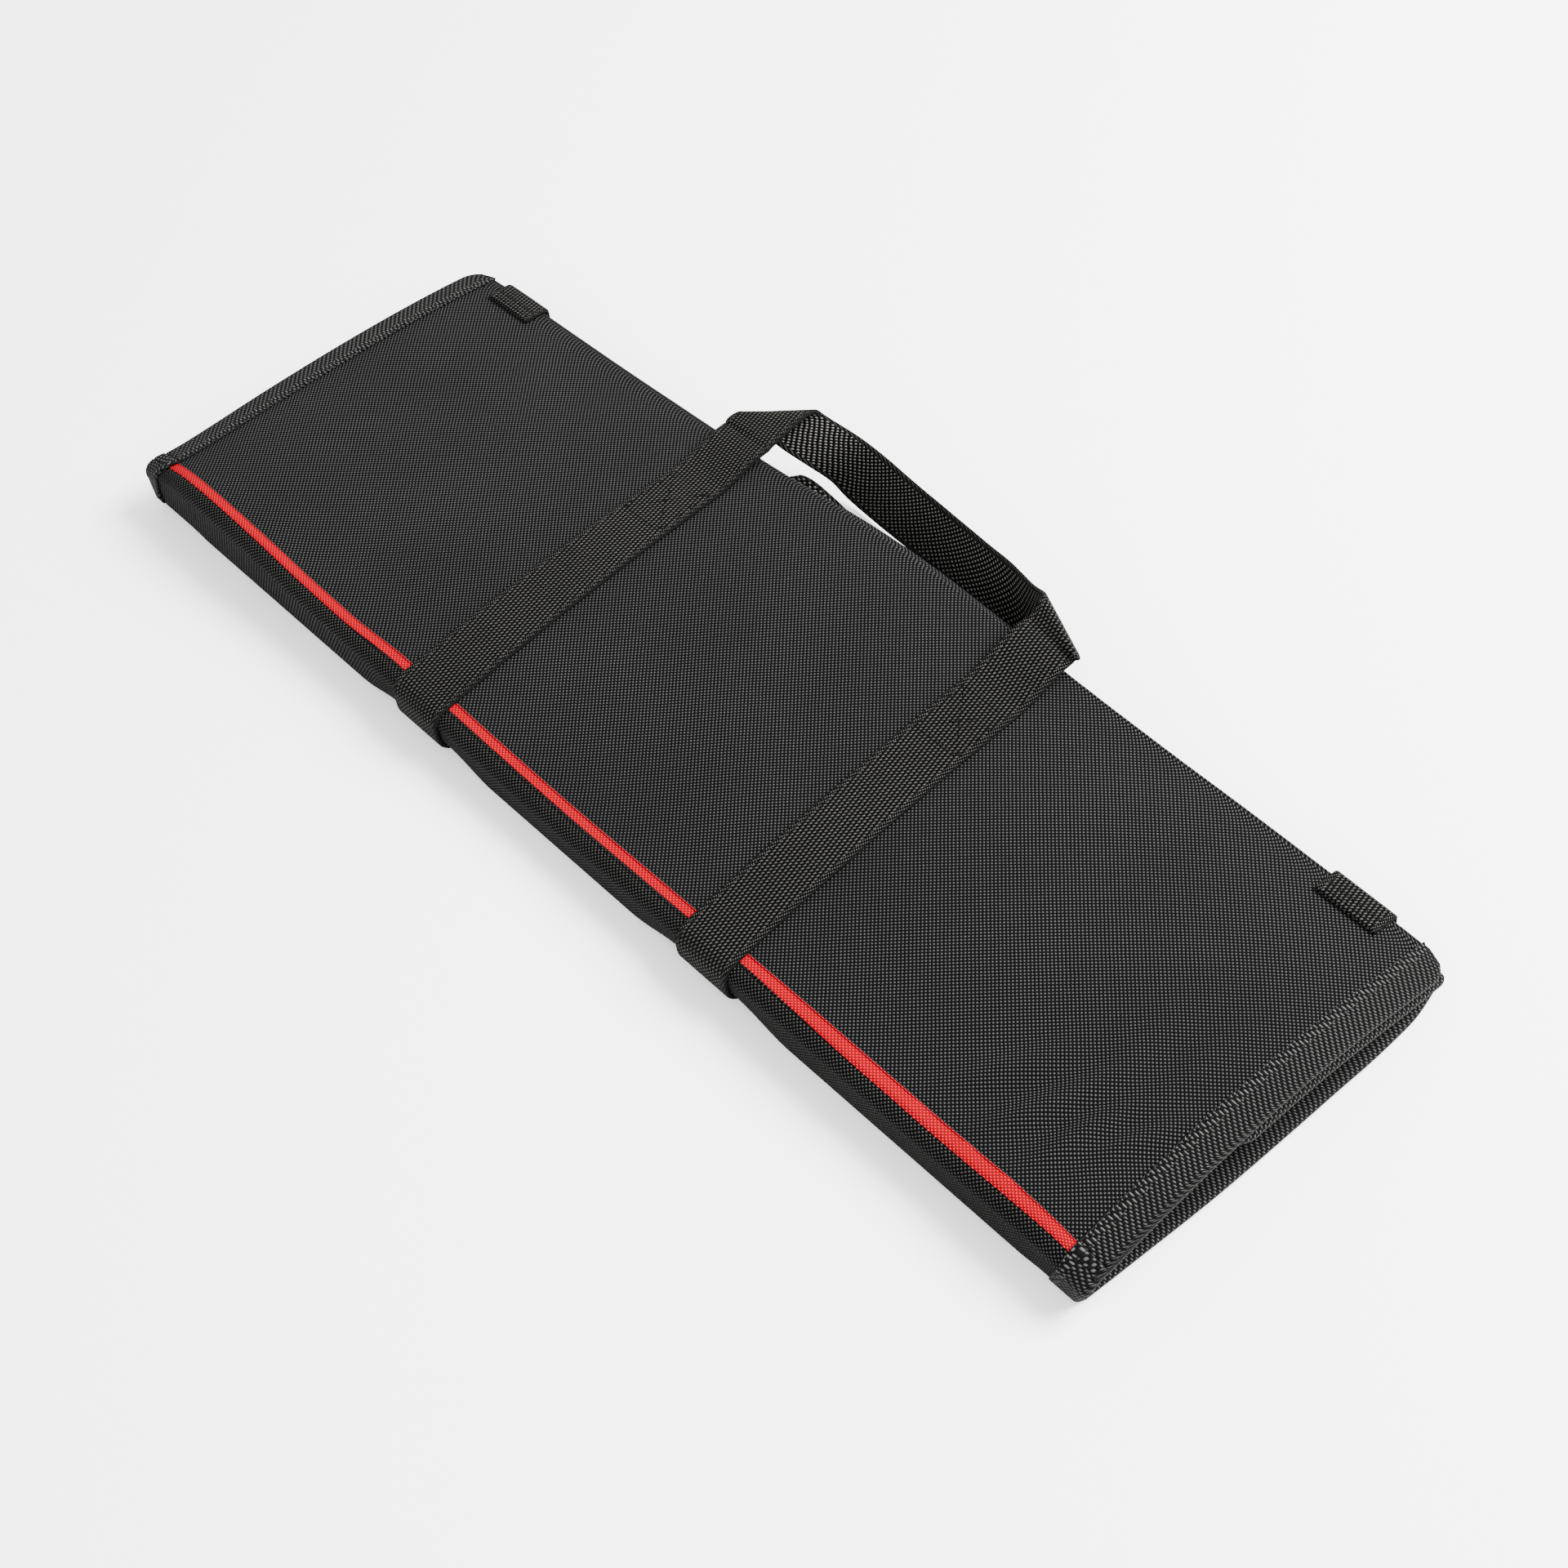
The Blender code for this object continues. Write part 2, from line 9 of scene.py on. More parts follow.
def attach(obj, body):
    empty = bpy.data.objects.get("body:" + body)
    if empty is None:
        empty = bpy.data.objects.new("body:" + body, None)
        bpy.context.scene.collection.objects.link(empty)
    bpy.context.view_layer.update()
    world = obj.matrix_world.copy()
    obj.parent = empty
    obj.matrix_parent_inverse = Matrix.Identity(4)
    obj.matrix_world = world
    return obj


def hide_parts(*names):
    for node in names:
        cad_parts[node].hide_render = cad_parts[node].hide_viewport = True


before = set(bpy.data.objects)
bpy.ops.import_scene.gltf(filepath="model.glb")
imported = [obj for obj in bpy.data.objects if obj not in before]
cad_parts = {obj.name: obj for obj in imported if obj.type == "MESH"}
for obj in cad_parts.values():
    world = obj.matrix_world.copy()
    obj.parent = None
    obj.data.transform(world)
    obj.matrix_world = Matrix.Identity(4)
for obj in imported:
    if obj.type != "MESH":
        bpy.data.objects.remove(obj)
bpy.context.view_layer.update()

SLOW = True

# Sizes of the case, as in the part's source
CASE_LENGTH = 0.501
CASE_DEPTH = 0.162
CASE_HEIGHT = 0.022
PANEL_WALL = 0.0020
END_CORNER = 0.009
END_EASE = 0.0085
SPINE_RADIUS = 0.0045
BASE_RADIUS = 0.0030
STRAP_PINCH = 0.0040
TRIM_WIDTH = 0.0050
COVER_EDGE = 0.0090
FLAP_DEPTH = 0.098
NOSE_REACH = 0.0066
FOLD_GAP = 0.0035
FLAP_GAP = 0.0009
BASE_SEAM = 0.024
WEB_WIDTH = 0.025
WEB_WALL = 0.0016
STRAP_SPACING = 0.154
STRAP_LIFT = 0.0050
SEWN_REACH = 0.126
STRAP_SLANT = -0.0020
HANDLE_REACH = 0.0327
LOWER_LEAN = 0.0042
RIBBON_WIDTH = 0.0108
RIBBON_WALL = 0.0008
TAB_REACH = 0.010
TAB_INSET = 0.0365
TAB_DROP = 0.010
CLEARANCE = 0.0003
SEAM_GAP = 0.0006

# Sizes of the visible cloth alone
NOSE_LEAN = 0.0026          # how far the back fold's upper half leans out over its lower half
TRIM_WALL = 0.0010
TRIM_RISE = 0.00012         # how far the trim stands proud of the cover
TRIM_LAP = 0.0008           # how far it reaches over the cover's edge
TRIM_SETBACK = 0.0013       # how much nearer the spine the cover's edge lies towards both ends
SPINE_LAP = 0.0001          # how far the spine strip reaches past the top of its bend
SPINE_COVER = 0.0021        # how much further it does so along the middle
# Changes along the case: where each starts, and its length.
SETBACK_LEFT = (-0.125, 0.030)
SETBACK_RIGHT = (0.200, 0.040)
COVERED_LEFT = (-0.130, 0.035)
COVERED_RIGHT = (0.070, 0.080)
PANEL_TUCK = 0.0008         # how far a panel's end stays inside its ribbon
RIBBON_STEP = 0.00045       # the shortest step of a ribbon's section
RIBBON_EASE = 2.4           # ribbon widths from the end within which its lines are read
MERGE_REACH = 0.000004
STITCH_THICK = 0.00042
STITCH_LIFT = 0.00005
UNDERSIDE = 0.0006          # stitches below this height are pressed flat and left out

FRONT = -(CASE_DEPTH + HANDLE_REACH + WEB_WALL + CLEARANCE) / 2
SPINE_Y = FRONT + WEB_WALL + CLEARANCE
COVER_Y = SPINE_Y + COVER_EDGE
BACK_Y = SPINE_Y + CASE_DEPTH
COVER_DEPTH = BACK_Y - COVER_Y
SEAM_Y = BACK_Y - BASE_SEAM
STRAP_LAYER = WEB_WALL + CLEARANCE
RIBBON_LAYER = RIBBON_WALL + CLEARANCE
HALF = CASE_LENGTH / 2

# Cover: place along the length, heights at spine, halfway and back, reach of the back fold.
COVER_ROWS = (
    (0.00, 0.98, 1.06, 0.80, -0.18),
    (0.05, 1.22, 1.17, 0.89, -0.15),
    (0.13, 1.19, 1.17, 0.91, -0.08),
    (0.20, 1.05, 1.16, 0.94, 0.05),
    (0.33, 0.94, 1.15, 1.05, 0.55),
    (0.48, 0.79, 1.12, 1.29, 1.00),
    (0.60, 0.83, 1.12, 1.23, 0.84),
    (0.72, 0.89, 1.11, 1.00, 0.40),
    (0.86, 0.86, 1.10, 0.81, -0.05),
    (0.95, 0.91, 1.09, 0.66, -0.15),
    (0.975, 0.82, 1.03, 0.61, -0.17),
    (1.00, 0.68, 0.90, 0.48, -0.18),
)

# Ends: place from spine to back edge, then how far cover left, cover right, base left and
# base right stand in.
END_ROWS = (
    (0.00, -0.36, 0.53, -0.28, 1.00),
    (0.12, 0.16, 0.52, 0.16, 0.78),
    (0.35, 0.33, 0.49, 0.30, 0.40),
    (0.65, 0.36, 0.38, 0.20, 0.14),
    (0.88, 0.40, 0.20, 0.12, 0.03),
    (1.00, 0.48, 0.10, 0.48, 0.48),
)

# Folds of the webbing: run, reach and height of the inner edge, then of the outer edge.
LEFT_FOLD = (
    (0.49, 0.09, 1.41, -0.50, 0.06, 1.37),
    (0.46, 0.36, 1.43, -0.49, 0.13, 1.39),
    (0.42, 0.64, 1.43, -0.47, 0.18, 1.39),
    (0.40, 0.82, 1.38, -0.46, 0.21, 1.34),
    (0.46, 0.89, 1.28, -0.36, 0.23, 1.23),
    (0.60, 0.93, 1.20, -0.02, 0.26, 1.13),
    (0.80, 0.96, 1.15, 0.36, 0.31, 0.97),
    (1.06, 0.98, 1.12, 0.68, 0.45, 0.67),
    (1.38, 0.98, 1.10, 0.92, 0.60, 0.34),
    (1.82, 0.95, 1.09, 1.26, 0.64, 0.09),
    (2.36, 0.90, 1.09, 2.00, 0.60, 0.05),
)
RIGHT_FOLD = (
    (0.50, 0.08, 1.45, -0.50, 0.04, 1.38),
    (0.48, 0.16, 1.48, -0.53, 0.04, 1.43),
    (0.48, 0.26, 1.56, -0.55, 0.04, 1.46),
    (0.50, 0.34, 1.64, -0.56, 0.05, 1.45),
    (0.56, 0.42, 1.60, -0.52, 0.09, 1.38),
    (0.68, 0.50, 1.45, -0.33, 0.18, 1.26),
    (0.85, 0.57, 1.29, 0.03, 0.24, 1.08),
    (1.07, 0.63, 1.17, 0.34, 0.32, 0.73),
    (1.33, 0.69, 1.11, 0.60, 0.39, 0.38),
    (1.65, 0.74, 1.09, 0.92, 0.45, 0.12),
    (2.05, 0.77, 1.08, 1.56, 0.47, 0.05),
)
LOWER_FOLD = (
    (0.50, -0.10, 0.5, -0.50, -0.32, 0.5),
    (0.47, 0.15, 0.7, -0.50, -0.30, 0.5),
    (0.40, 0.36, 1.2, -0.50, -0.29, 0.7),
    (0.32, 0.46, 1.9, -0.50, -0.28, 0.9),
    (0.38, 0.50, 2.5, -0.44, -0.28, 1.2),
    (0.62, 0.52, 2.6, -0.08, -0.28, 1.2),
    (1.00, 0.51, 2.1, 0.44, -0.28, 1.2),
    (1.50, 0.48, 1.3, 1.02, -0.29, 1.0),
    (2.20, 0.45, 0.6, 1.70, -0.30, 0.6),
)


# Shapes of the case

def ease(share):
    share = np.clip(share, 0.0, 1.0)
    return share * share * (3 - 2 * share)


def mix(low, high, share):
    return low + (high - low) * share


def table_value(rows, share, column):
    """A column of a table at a share of its first column, on a smooth curve through the rows."""
    last = len(rows) - 1
    index = 0
    while index < last - 1 and share > rows[index + 1][0]:
        index += 1
    here, ahead = rows[index], rows[index + 1]
    before, after = rows[max(index - 1, 0)], rows[min(index + 2, last)]
    span = ahead[0] - here[0]
    part = (share - here[0]) / span
    slope_here = (ahead[column] - before[column]) / (ahead[0] - before[0]) * span
    slope_ahead = (after[column] - here[column]) / (after[0] - here[0]) * span
    square, cube = part * part, part ** 3
    return ((2 * cube - 3 * square + 1) * here[column] + (cube - 2 * square + part) * slope_here
            + (3 * square - 2 * cube) * ahead[column] + (cube - square) * slope_ahead)


SHARES = np.linspace(0.0, 1.0, 601)
COVER_CURVES = [np.array([table_value(COVER_ROWS, share, column) for share in SHARES])
                for column in (1, 2, 3, 4)]
END_CURVES = [np.array([table_value(END_ROWS, share, column) for share in SHARES])
              for column in (1, 2, 3, 4)]


def crease(x, y, middle, heading, length, width, depth):
    """A soft fold in the cover: a ridge along its heading that dies away at both ends."""
    along = (x - middle[0]) * cos(heading) + (y - middle[1]) * sin(heading)
    across = -(x - middle[0]) * sin(heading) + (y - middle[1]) * cos(heading)
    return depth * np.exp(-(along / length) ** 2) * (
        np.exp(-(across / width) ** 2) - 0.5 * np.exp(-((across - 1.8 * width) / width) ** 2)
        - 0.5 * np.exp(-((across + 1.8 * width) / width) ** 2))


# Soft folds of the cover: middle, heading, half length, half width, height.
CREASES = (
    ((0.196, -0.064), 1.20, 0.018, 0.0038, 0.00135),
    ((0.212, -0.062), 1.35, 0.017, 0.0036, 0.00150),
    ((0.226, -0.052), 1.10, 0.016, 0.0034, 0.00110),
    ((0.180, -0.060), 1.05, 0.020, 0.0046, 0.00095),
    ((0.204, -0.030), 1.55, 0.026, 0.0050, 0.00055),
    ((0.222, -0.022), 1.50, 0.024, 0.0040, 0.00050),
    ((-0.150, 0.015), 0.90, 0.050, 0.0140, 0.00035),
    ((-0.215, -0.020), 1.90, 0.045, 0.0100, 0.00035),
    ((0.020, -0.030), 2.60, 0.050, 0.0140, 0.00035),
    ((0.135, 0.030), 0.80, 0.040, 0.0110, 0.00035),
)


def cover_top(x, y):
    """Height of the cover's outer face, with its soft folds."""
    x, y = np.broadcast_arrays(np.asarray(x, float), np.asarray(y, float))
    share = np.clip(x / CASE_LENGTH + 0.5, 0.0, 1.0)
    spine, middle, back = (np.interp(share, SHARES, curve) * CASE_HEIGHT for curve in COVER_CURVES[:3])
    across = (y - COVER_Y) / COVER_DEPTH
    height = (spine * (1 - across) * (1 - 2 * across) + middle * 4 * across * (1 - across)
              + back * across * (2 * across - 1))
    for fold in CREASES:
        height = height + crease(x, y, *fold)
    return height


def strap_nearness(x):
    distance = np.abs(np.abs(x) - STRAP_SPACING / 2) - WEB_WIDTH / 2
    return 1 - ease((distance - CLEARANCE * 5) / WEB_WIDTH)


def base_radius(x):
    return BASE_RADIUS + STRAP_PINCH * strap_nearness(x)


def base_lift(x, y):
    """The base sags to the ground, and lies over the straps, the lower handle and its bindings."""
    from_end = HALF - RIBBON_WIDTH * 3.1
    over_ribbon = ease((np.abs(x) - from_end) / RIBBON_WIDTH) * RIBBON_LAYER
    outside = np.abs(x) - (STRAP_SPACING + WEB_WIDTH) / 2
    over_handle = 1 - ease((outside - CLEARANCE * 5) / WEB_WIDTH)
    behind = ease((y - (SEAM_Y - WEB_WIDTH)) / WEB_WIDTH)
    two_layers = 2 * STRAP_LAYER + CLEARANCE
    lift = np.maximum(strap_nearness(x) * STRAP_LAYER, over_handle * behind * two_layers)
    return np.maximum(lift, over_ribbon)


def flap_middle(x, y):
    """Mid surface of the inner flap, just under the cover."""
    along = np.clip((y - (BACK_Y - FLAP_DEPTH)) / FLAP_DEPTH, 0.0, 1.0)
    near_end = ease((np.abs(x) - (HALF - 3.6 * RIBBON_WIDTH)) / (1.5 * RIBBON_WIDTH))
    gap = mix(mix(FLAP_GAP, FOLD_GAP, along), max(FOLD_GAP, 2 * RIBBON_LAYER + CLEARANCE), near_end)
    return cover_top(x, y) - 1.5 * PANEL_WALL - gap


def trim_share():
    flat = COVER_EDGE - CLEARANCE - SPINE_RADIUS
    return (TRIM_WIDTH - flat) / (SPINE_RADIUS * pi / 2)


def change(x, place):
    start, length = place
    return ease((x - start) / length)


def trim_setback(x):
    """How much nearer the spine the cover's edge lies: not along the middle, more towards both ends."""
    return TRIM_SETBACK * (1 - change(x, SETBACK_LEFT) + change(x, SETBACK_RIGHT))


def spine_cover(x):
    """How far the spine strip reaches past the top of its bend: most along the middle of the case."""
    return SPINE_LAP + SPINE_COVER * change(x, COVERED_LEFT) * (1 - change(x, COVERED_RIGHT))


def turn_points(x, centre_y, centre_z, radius, turns):
    """Points round a bend: turns run from straight up towards the spine face."""
    return centre_y - radius * np.sin(turns) + 0 * x, centre_z + radius * np.cos(turns)


def steps(start, end, count):
    return np.linspace(start, end, count)[None, :]


def cover_path(x):
    y = mix(COVER_Y - trim_setback(x), BACK_Y, steps(0, 1, 78))
    return y, cover_top(x, y) - PANEL_WALL / 2


def trim_path(x):
    """From under the spine strip up to the cover, a little proud of the cover's edge."""
    centre_y = SPINE_Y + SPINE_RADIUS
    start = trim_share() + SEAM_GAP / (SPINE_RADIUS * pi / 2)
    arc = turn_points(x, centre_y, cover_top(x, centre_y) - SPINE_RADIUS,
                      SPINE_RADIUS - TRIM_WALL / 2 + TRIM_RISE, steps(start * pi / 2, 0.0, 9))
    y = mix(centre_y, COVER_Y + TRIM_LAP - trim_setback(x), steps(0, 1, 12))[:, 1:]
    return np.hstack([arc[0], y]), np.hstack([arc[1], cover_top(x, y) - TRIM_WALL / 2 + TRIM_RISE])


def spine_path(x):
    """From the base up the spine face and over the edge of the trim."""
    centre_y = SPINE_Y + SPINE_RADIUS
    arc = turn_points(x, centre_y, cover_top(x, centre_y) - SPINE_RADIUS,
                      SPINE_RADIUS - PANEL_WALL / 2 + TRIM_RISE * 1.5, steps(pi / 2, 0.0, 12))
    lap_y = centre_y + spine_cover(x) * steps(0, 1, 5)[:, 1:]
    lap_z = cover_top(x, lap_y) - PANEL_WALL / 2 + TRIM_RISE * 1.5
    bend = base_radius(x)
    low_y, low_z = SPINE_Y + bend, base_lift(x, SPINE_Y) + bend
    radius = bend - PANEL_WALL / 2
    turns = steps(0, pi / 2, 9)
    corner = low_y - radius * np.sin(turns), low_z - radius * np.cos(turns)
    share = steps(0, 1, 14)[:, 1:-1]
    rise = mix(corner[1][:, -1:], arc[1][:, :1], share)
    return (np.hstack([corner[0], corner[0][:, -1:] + 0 * rise, arc[0], lap_y]),
            np.hstack([corner[1], rise, arc[1], lap_z]))


def base_path(x):
    """From the seam under the back edge forward to the spine."""
    y = mix(SEAM_Y, SPINE_Y + base_radius(x) + CLEARANCE, steps(0, 1, 62))
    return y, base_lift(x, y) + PANEL_WALL / 2


def nose_share(x):
    return np.interp(np.clip(x / CASE_LENGTH + 0.5, 0, 1), SHARES, COVER_CURVES[3])


def nose_y(x):
    return BACK_Y - PANEL_WALL / 2 + NOSE_REACH * nose_share(x)


def flap_path(x):
    """From the flap's free edge back under the cover, round the fold and forward to the seam."""
    low = base_lift(x, BACK_Y) + PANEL_WALL / 2
    half = (flap_middle(x, nose_y(x)) - low) / 2
    centre_y = nose_y(x) - half
    half = (flap_middle(x, centre_y) - low) / 2
    upper = mix(BACK_Y - FLAP_DEPTH, centre_y, steps(0, 1, 44)[:, :-1])
    turns = steps(0, pi, 17)
    tilt = NOSE_LEAN * np.maximum(nose_share(x), 0.0)
    nose = centre_y + half * np.sin(turns) + tilt * np.sin(2 * turns), low + half + half * np.cos(turns)
    lower = mix(centre_y, SEAM_Y + CLEARANCE, steps(0, 1, 8)[:, 1:])
    return (np.hstack([upper, nose[0], lower]),
            np.hstack([flap_middle(x, upper), nose[1], low + 0 * lower]))


def corner_setback(distance):
    inside = END_CORNER - np.clip(distance, 0.0, END_CORNER)
    return END_CORNER - np.sqrt(END_CORNER ** 2 - inside ** 2)


def sheet_end(side, free_edge, y, z):
    """Where a sheet ends at one side: between the cover's end and the base's, by its height."""
    across = (y - SPINE_Y) / CASE_DEPTH
    top = cover_top(0.0, y) - PANEL_WALL
    lower = np.clip((top - z) / (top - PANEL_WALL), 0.0, 1.0)
    cover_end, base_end = END_CURVES[0 if side < 0 else 1], END_CURVES[2 if side < 0 else 3]
    inset = mix(np.interp(across, SHARES, cover_end), np.interp(across, SHARES, base_end), lower)
    reach = HALF - RIBBON_LAYER - inset * END_EASE
    if free_edge is not None:
        reach = reach - corner_setback(np.abs(y - free_edge))
    return side * reach


# Cloth from a grid of points

def smooth_rows(rows, count):
    """A smooth curve through rows of points, at even steps of its length."""
    rows = np.asarray(rows, float)
    ahead = np.vstack([rows[1:], 2 * rows[-1:] - rows[-2:-1]])
    after = np.vstack([ahead[1:], 2 * ahead[-1:] - ahead[-2:-1]])
    before = np.vstack([2 * rows[:1] - rows[1:2], rows[:-1]])
    dense = []
    for index in range(len(rows) - 1):
        for part in np.linspace(0, 1, 12, endpoint=False):
            a, b, c, d = before[index], rows[index], ahead[index], after[index]
            dense.append(0.5 * (2 * b + (c - a) * part + (2 * a - 5 * b + 4 * c - d) * part ** 2
                                + (3 * b - a - 3 * c + d) * part ** 3))
    dense = np.array(dense + [rows[-1]])
    moved = np.linalg.norm(np.diff(dense, axis=0).reshape(len(dense) - 1, -1, 3), axis=2).mean(axis=1)
    length = np.concatenate([[0], np.cumsum(moved)])
    wanted = np.linspace(0, length[-1], count)
    return np.stack([np.interp(wanted, length, dense[:, k]) for k in range(dense.shape[1])], axis=1)


def unit(vectors):
    return vectors / np.maximum(np.linalg.norm(vectors, axis=-1, keepdims=True), 1e-12)


def run_length(points):
    """Length along each column of a grid of points, eased back to the mean so that folds stay even."""
    moved = np.linalg.norm(np.diff(points, axis=0), axis=2)
    length = np.zeros(points.shape[:2])
    for index in range(1, len(points)):
        mean = length[index - 1].mean()
        length[index] = mean + (length[index - 1] - mean) * 0.96 + moved[index - 1]
    return length


def round_section(grid, wall):
    """Rings round a sheet of cloth: its outer face, a rounded edge, its inner face, the other edge."""
    along = unit(np.gradient(grid, axis=0))
    across = unit(np.gradient(grid, axis=1))
    face = unit(np.cross(along, across))
    grid = grid.copy()
    half = wall / 2
    for edge, sign in ((0, -1), (-1, 1)):
        grid[:, edge] -= sign * across[:, edge] * half
    # rounded ends, closed on the middle of the cloth
    first, last = unit(grid[1] - grid[0]), unit(grid[-2] - grid[-1])
    grid = np.concatenate([[grid[0], grid[0] + first * half * 0.3, grid[0] + first * half], grid[1:-1],
                           [grid[-1] + last * half, grid[-1] + last * half * 0.3, grid[-1]]])
    face = np.concatenate([face[:1], face[:1], face, face[-1:], face[-1:]])
    across = np.concatenate([across[:1], across[:1], across, across[-1:], across[-1:]])
    rise = np.ones(len(grid))
    rise[[0, -1]], rise[[1, -2]] = 0.0, 0.71
    lift = face * (rise * half)[:, None, None]
    turns = np.array([pi / 4, pi / 2, 3 * pi / 4])[None, :, None]
    out_last, out_first = (across[:, -1:] * (rise * half)[:, None, None],
                           -across[:, :1] * (rise * half)[:, None, None])
    rim_last = grid[:, -1:] + lift[:, -1:] * np.cos(turns) + out_last * np.sin(turns)
    rim_first = grid[:, :1] - lift[:, :1] * np.cos(turns) + out_first * np.sin(turns)
    rings = np.concatenate([grid + lift, rim_last, (grid - lift)[:, ::-1], rim_first], axis=1)
    return np.concatenate([rings, rings[:, :1]], axis=1)


def cloth(name, grid, wall, material, slot, *nodes):
    """A sheet of cloth made from a flat grid, bent to its points and closed round its wall.

    Its length along and girth round are kept in its UV map, in metres.
    """
    rings = round_section(grid, wall)
    length = run_length(rings)
    middle = rings[len(rings) // 2]
    girth = np.concatenate([[0], np.cumsum(np.linalg.norm(np.diff(middle, axis=0), axis=1))])
    girth = girth - girth[grid.shape[1] - 1] / 2
    count_u, count_v = len(rings) - 1, rings.shape[1] - 1
    bpy.ops.object.select_all(action="DESELECT")
    bpy.ops.mesh.primitive_grid_add(x_subdivisions=count_u, y_subdivisions=count_v, size=1.0)
    piece = bpy.context.object
    piece.name = name
    mesh = piece.data
    flat = np.empty(len(mesh.vertices) * 3)
    mesh.vertices.foreach_get("co", flat)
    flat = flat.reshape(-1, 3) + 0.5
    u_index, v_index = (np.rint(flat[:, k] * count).astype(int) for k, count in ((0, count_u), (1, count_v)))
    mesh.vertices.foreach_set("co", rings[u_index, v_index].ravel())
    corner = np.empty(len(mesh.loops), dtype=np.int32)
    mesh.loops.foreach_get("vertex_index", corner)
    spread = np.stack([length[u_index, v_index][corner], girth[v_index][corner]], axis=1)
    mesh.uv_layers.active.data.foreach_set("uv", spread.ravel())
    bpy.ops.object.mode_set(mode="EDIT")
    bpy.ops.mesh.select_all(action="SELECT")
    bpy.ops.mesh.remove_doubles(threshold=MERGE_REACH)
    bpy.ops.mesh.normals_make_consistent(inside=False)
    bpy.ops.object.mode_set(mode="OBJECT")
    bpy.ops.object.shade_smooth()
    finish(piece, material)
    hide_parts(*nodes)
    return piece


def finish(piece, material):
    piece.data.materials.clear()
    piece.data.materials.append(material)
    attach(piece, "root")


def panel_grid(path, free_edge, stations):
    """Points of a panel: its path across the case at each station between its two ends."""
    places = np.linspace(-HALF, HALF, 401)
    depth, height = path(places[:, None])
    depth, height = depth + 0 * places[:, None], height + 0 * places[:, None]
    middle_y, middle_z = (line[200] for line in (depth, height))
    left, right = (sheet_end(side, free_edge, middle_y, middle_z) - side * PANEL_TUCK for side in (-1, 1))
    share = np.linspace(0, 1, stations)[:, None]
    x = mix(left[None, :], right[None, :], share)
    grid = np.empty((stations, len(middle_y), 3))
    for index in range(len(middle_y)):
        grid[:, index, 0] = x[:, index]
        grid[:, index, 1] = np.interp(x[:, index], places, depth[:, index])
        grid[:, index, 2] = np.interp(x[:, index], places, height[:, index])
    return grid


def lip_share(side, points):
    """Width of an end ribbon as a share: on the spine face the left one narrows towards the base."""
    if side > 0:
        return 1.0
    on_spine = 1 - ease((points[:, 0] - SPINE_Y - BASE_RADIUS) / BASE_RADIUS)
    return 1 - 0.55 * on_spine * ease((CASE_HEIGHT * 0.85 - points[:, 1]) / (CASE_HEIGHT * 0.6))


def binding_grid(side):
    """Points of an end ribbon: a U round the ends of flap, fold, base, spine, trim and cover."""
    parts = (flap_path, base_path, spine_path, trim_path, cover_path)
    middle, edges = [], []
    for path in parts:
        y, z = (line[0] for line in path(np.zeros((1, 1))))
        middle.append(np.stack([y, z], 1))
        free_edge = {flap_path: BACK_Y - FLAP_DEPTH, cover_path: BACK_Y}.get(path)
        edges.append(sheet_end(side, free_edge, y, z))
    middle = np.vstack(middle)
    outer = np.concatenate(edges)
    inner = sheet_end(side, None, middle[:, 0], middle[:, 1]) - side * RIBBON_WIDTH * lip_share(side, middle)
    hold = PANEL_WALL / 2 + CLEARANCE + RIBBON_WALL / 2
    bend_x = outer + side * (RIBBON_LAYER - PANEL_WALL / 2 - CLEARANCE - RIBBON_WALL)

    def line_at(x):
        pairs = [path(x[:, None]) for path in parts]
        y = np.hstack([pair[0] + 0 * x[:, None] for pair in pairs])
        z = np.hstack([pair[1] + 0 * x[:, None] for pair in pairs])
        return y, z

    places = np.linspace(side * (HALF - RIBBON_EASE * RIBBON_WIDTH), side * HALF, 41)
    depth, height = line_at(places)
    order = np.argsort(places)
    columns = []
    for share in np.linspace(0, 1, 9):
        x = mix(inner, bend_x, share)
        y = np.array([np.interp(x[k], places[order], depth[order, k]) for k in range(len(x))])
        z = np.array([np.interp(x[k], places[order], height[order, k]) for k in range(len(x))])
        ahead = unit(np.stack([np.gradient(y), np.gradient(z)], 1))
        out = np.stack([np.zeros_like(y), -ahead[:, 1], ahead[:, 0]], 1)
        columns.append((np.stack([x, y, z], 1), out))
    top = [point + out * hold for point, out in columns]
    under = [point - out * hold for point, out in reversed(columns)]
    point, out = columns[-1]
    sideways = np.array([side, 0, 0])[None, :]
    bend = [point + out * hold * cos(turn) + sideways * hold * sin(turn)
            for turn in np.linspace(0, pi, 10)[1:-1]]
    lines = top + bend + under
    if side > 0:
        lines.reverse()
    grid = np.stack(lines, axis=1)
    keep = np.concatenate([[True], np.linalg.norm(np.diff(middle, axis=0), axis=1) > RIBBON_STEP])
    return grid[keep]


def strap_height(x, y):
    free = ease((y - COVER_Y - SEWN_REACH) / (COVER_DEPTH - SEWN_REACH))
    return cover_top(x, y) + CLEARANCE + WEB_WALL / 2 + STRAP_LIFT * free


def lean(y):
    return STRAP_SLANT * np.maximum(y - SPINE_Y, 0.0) / CASE_DEPTH


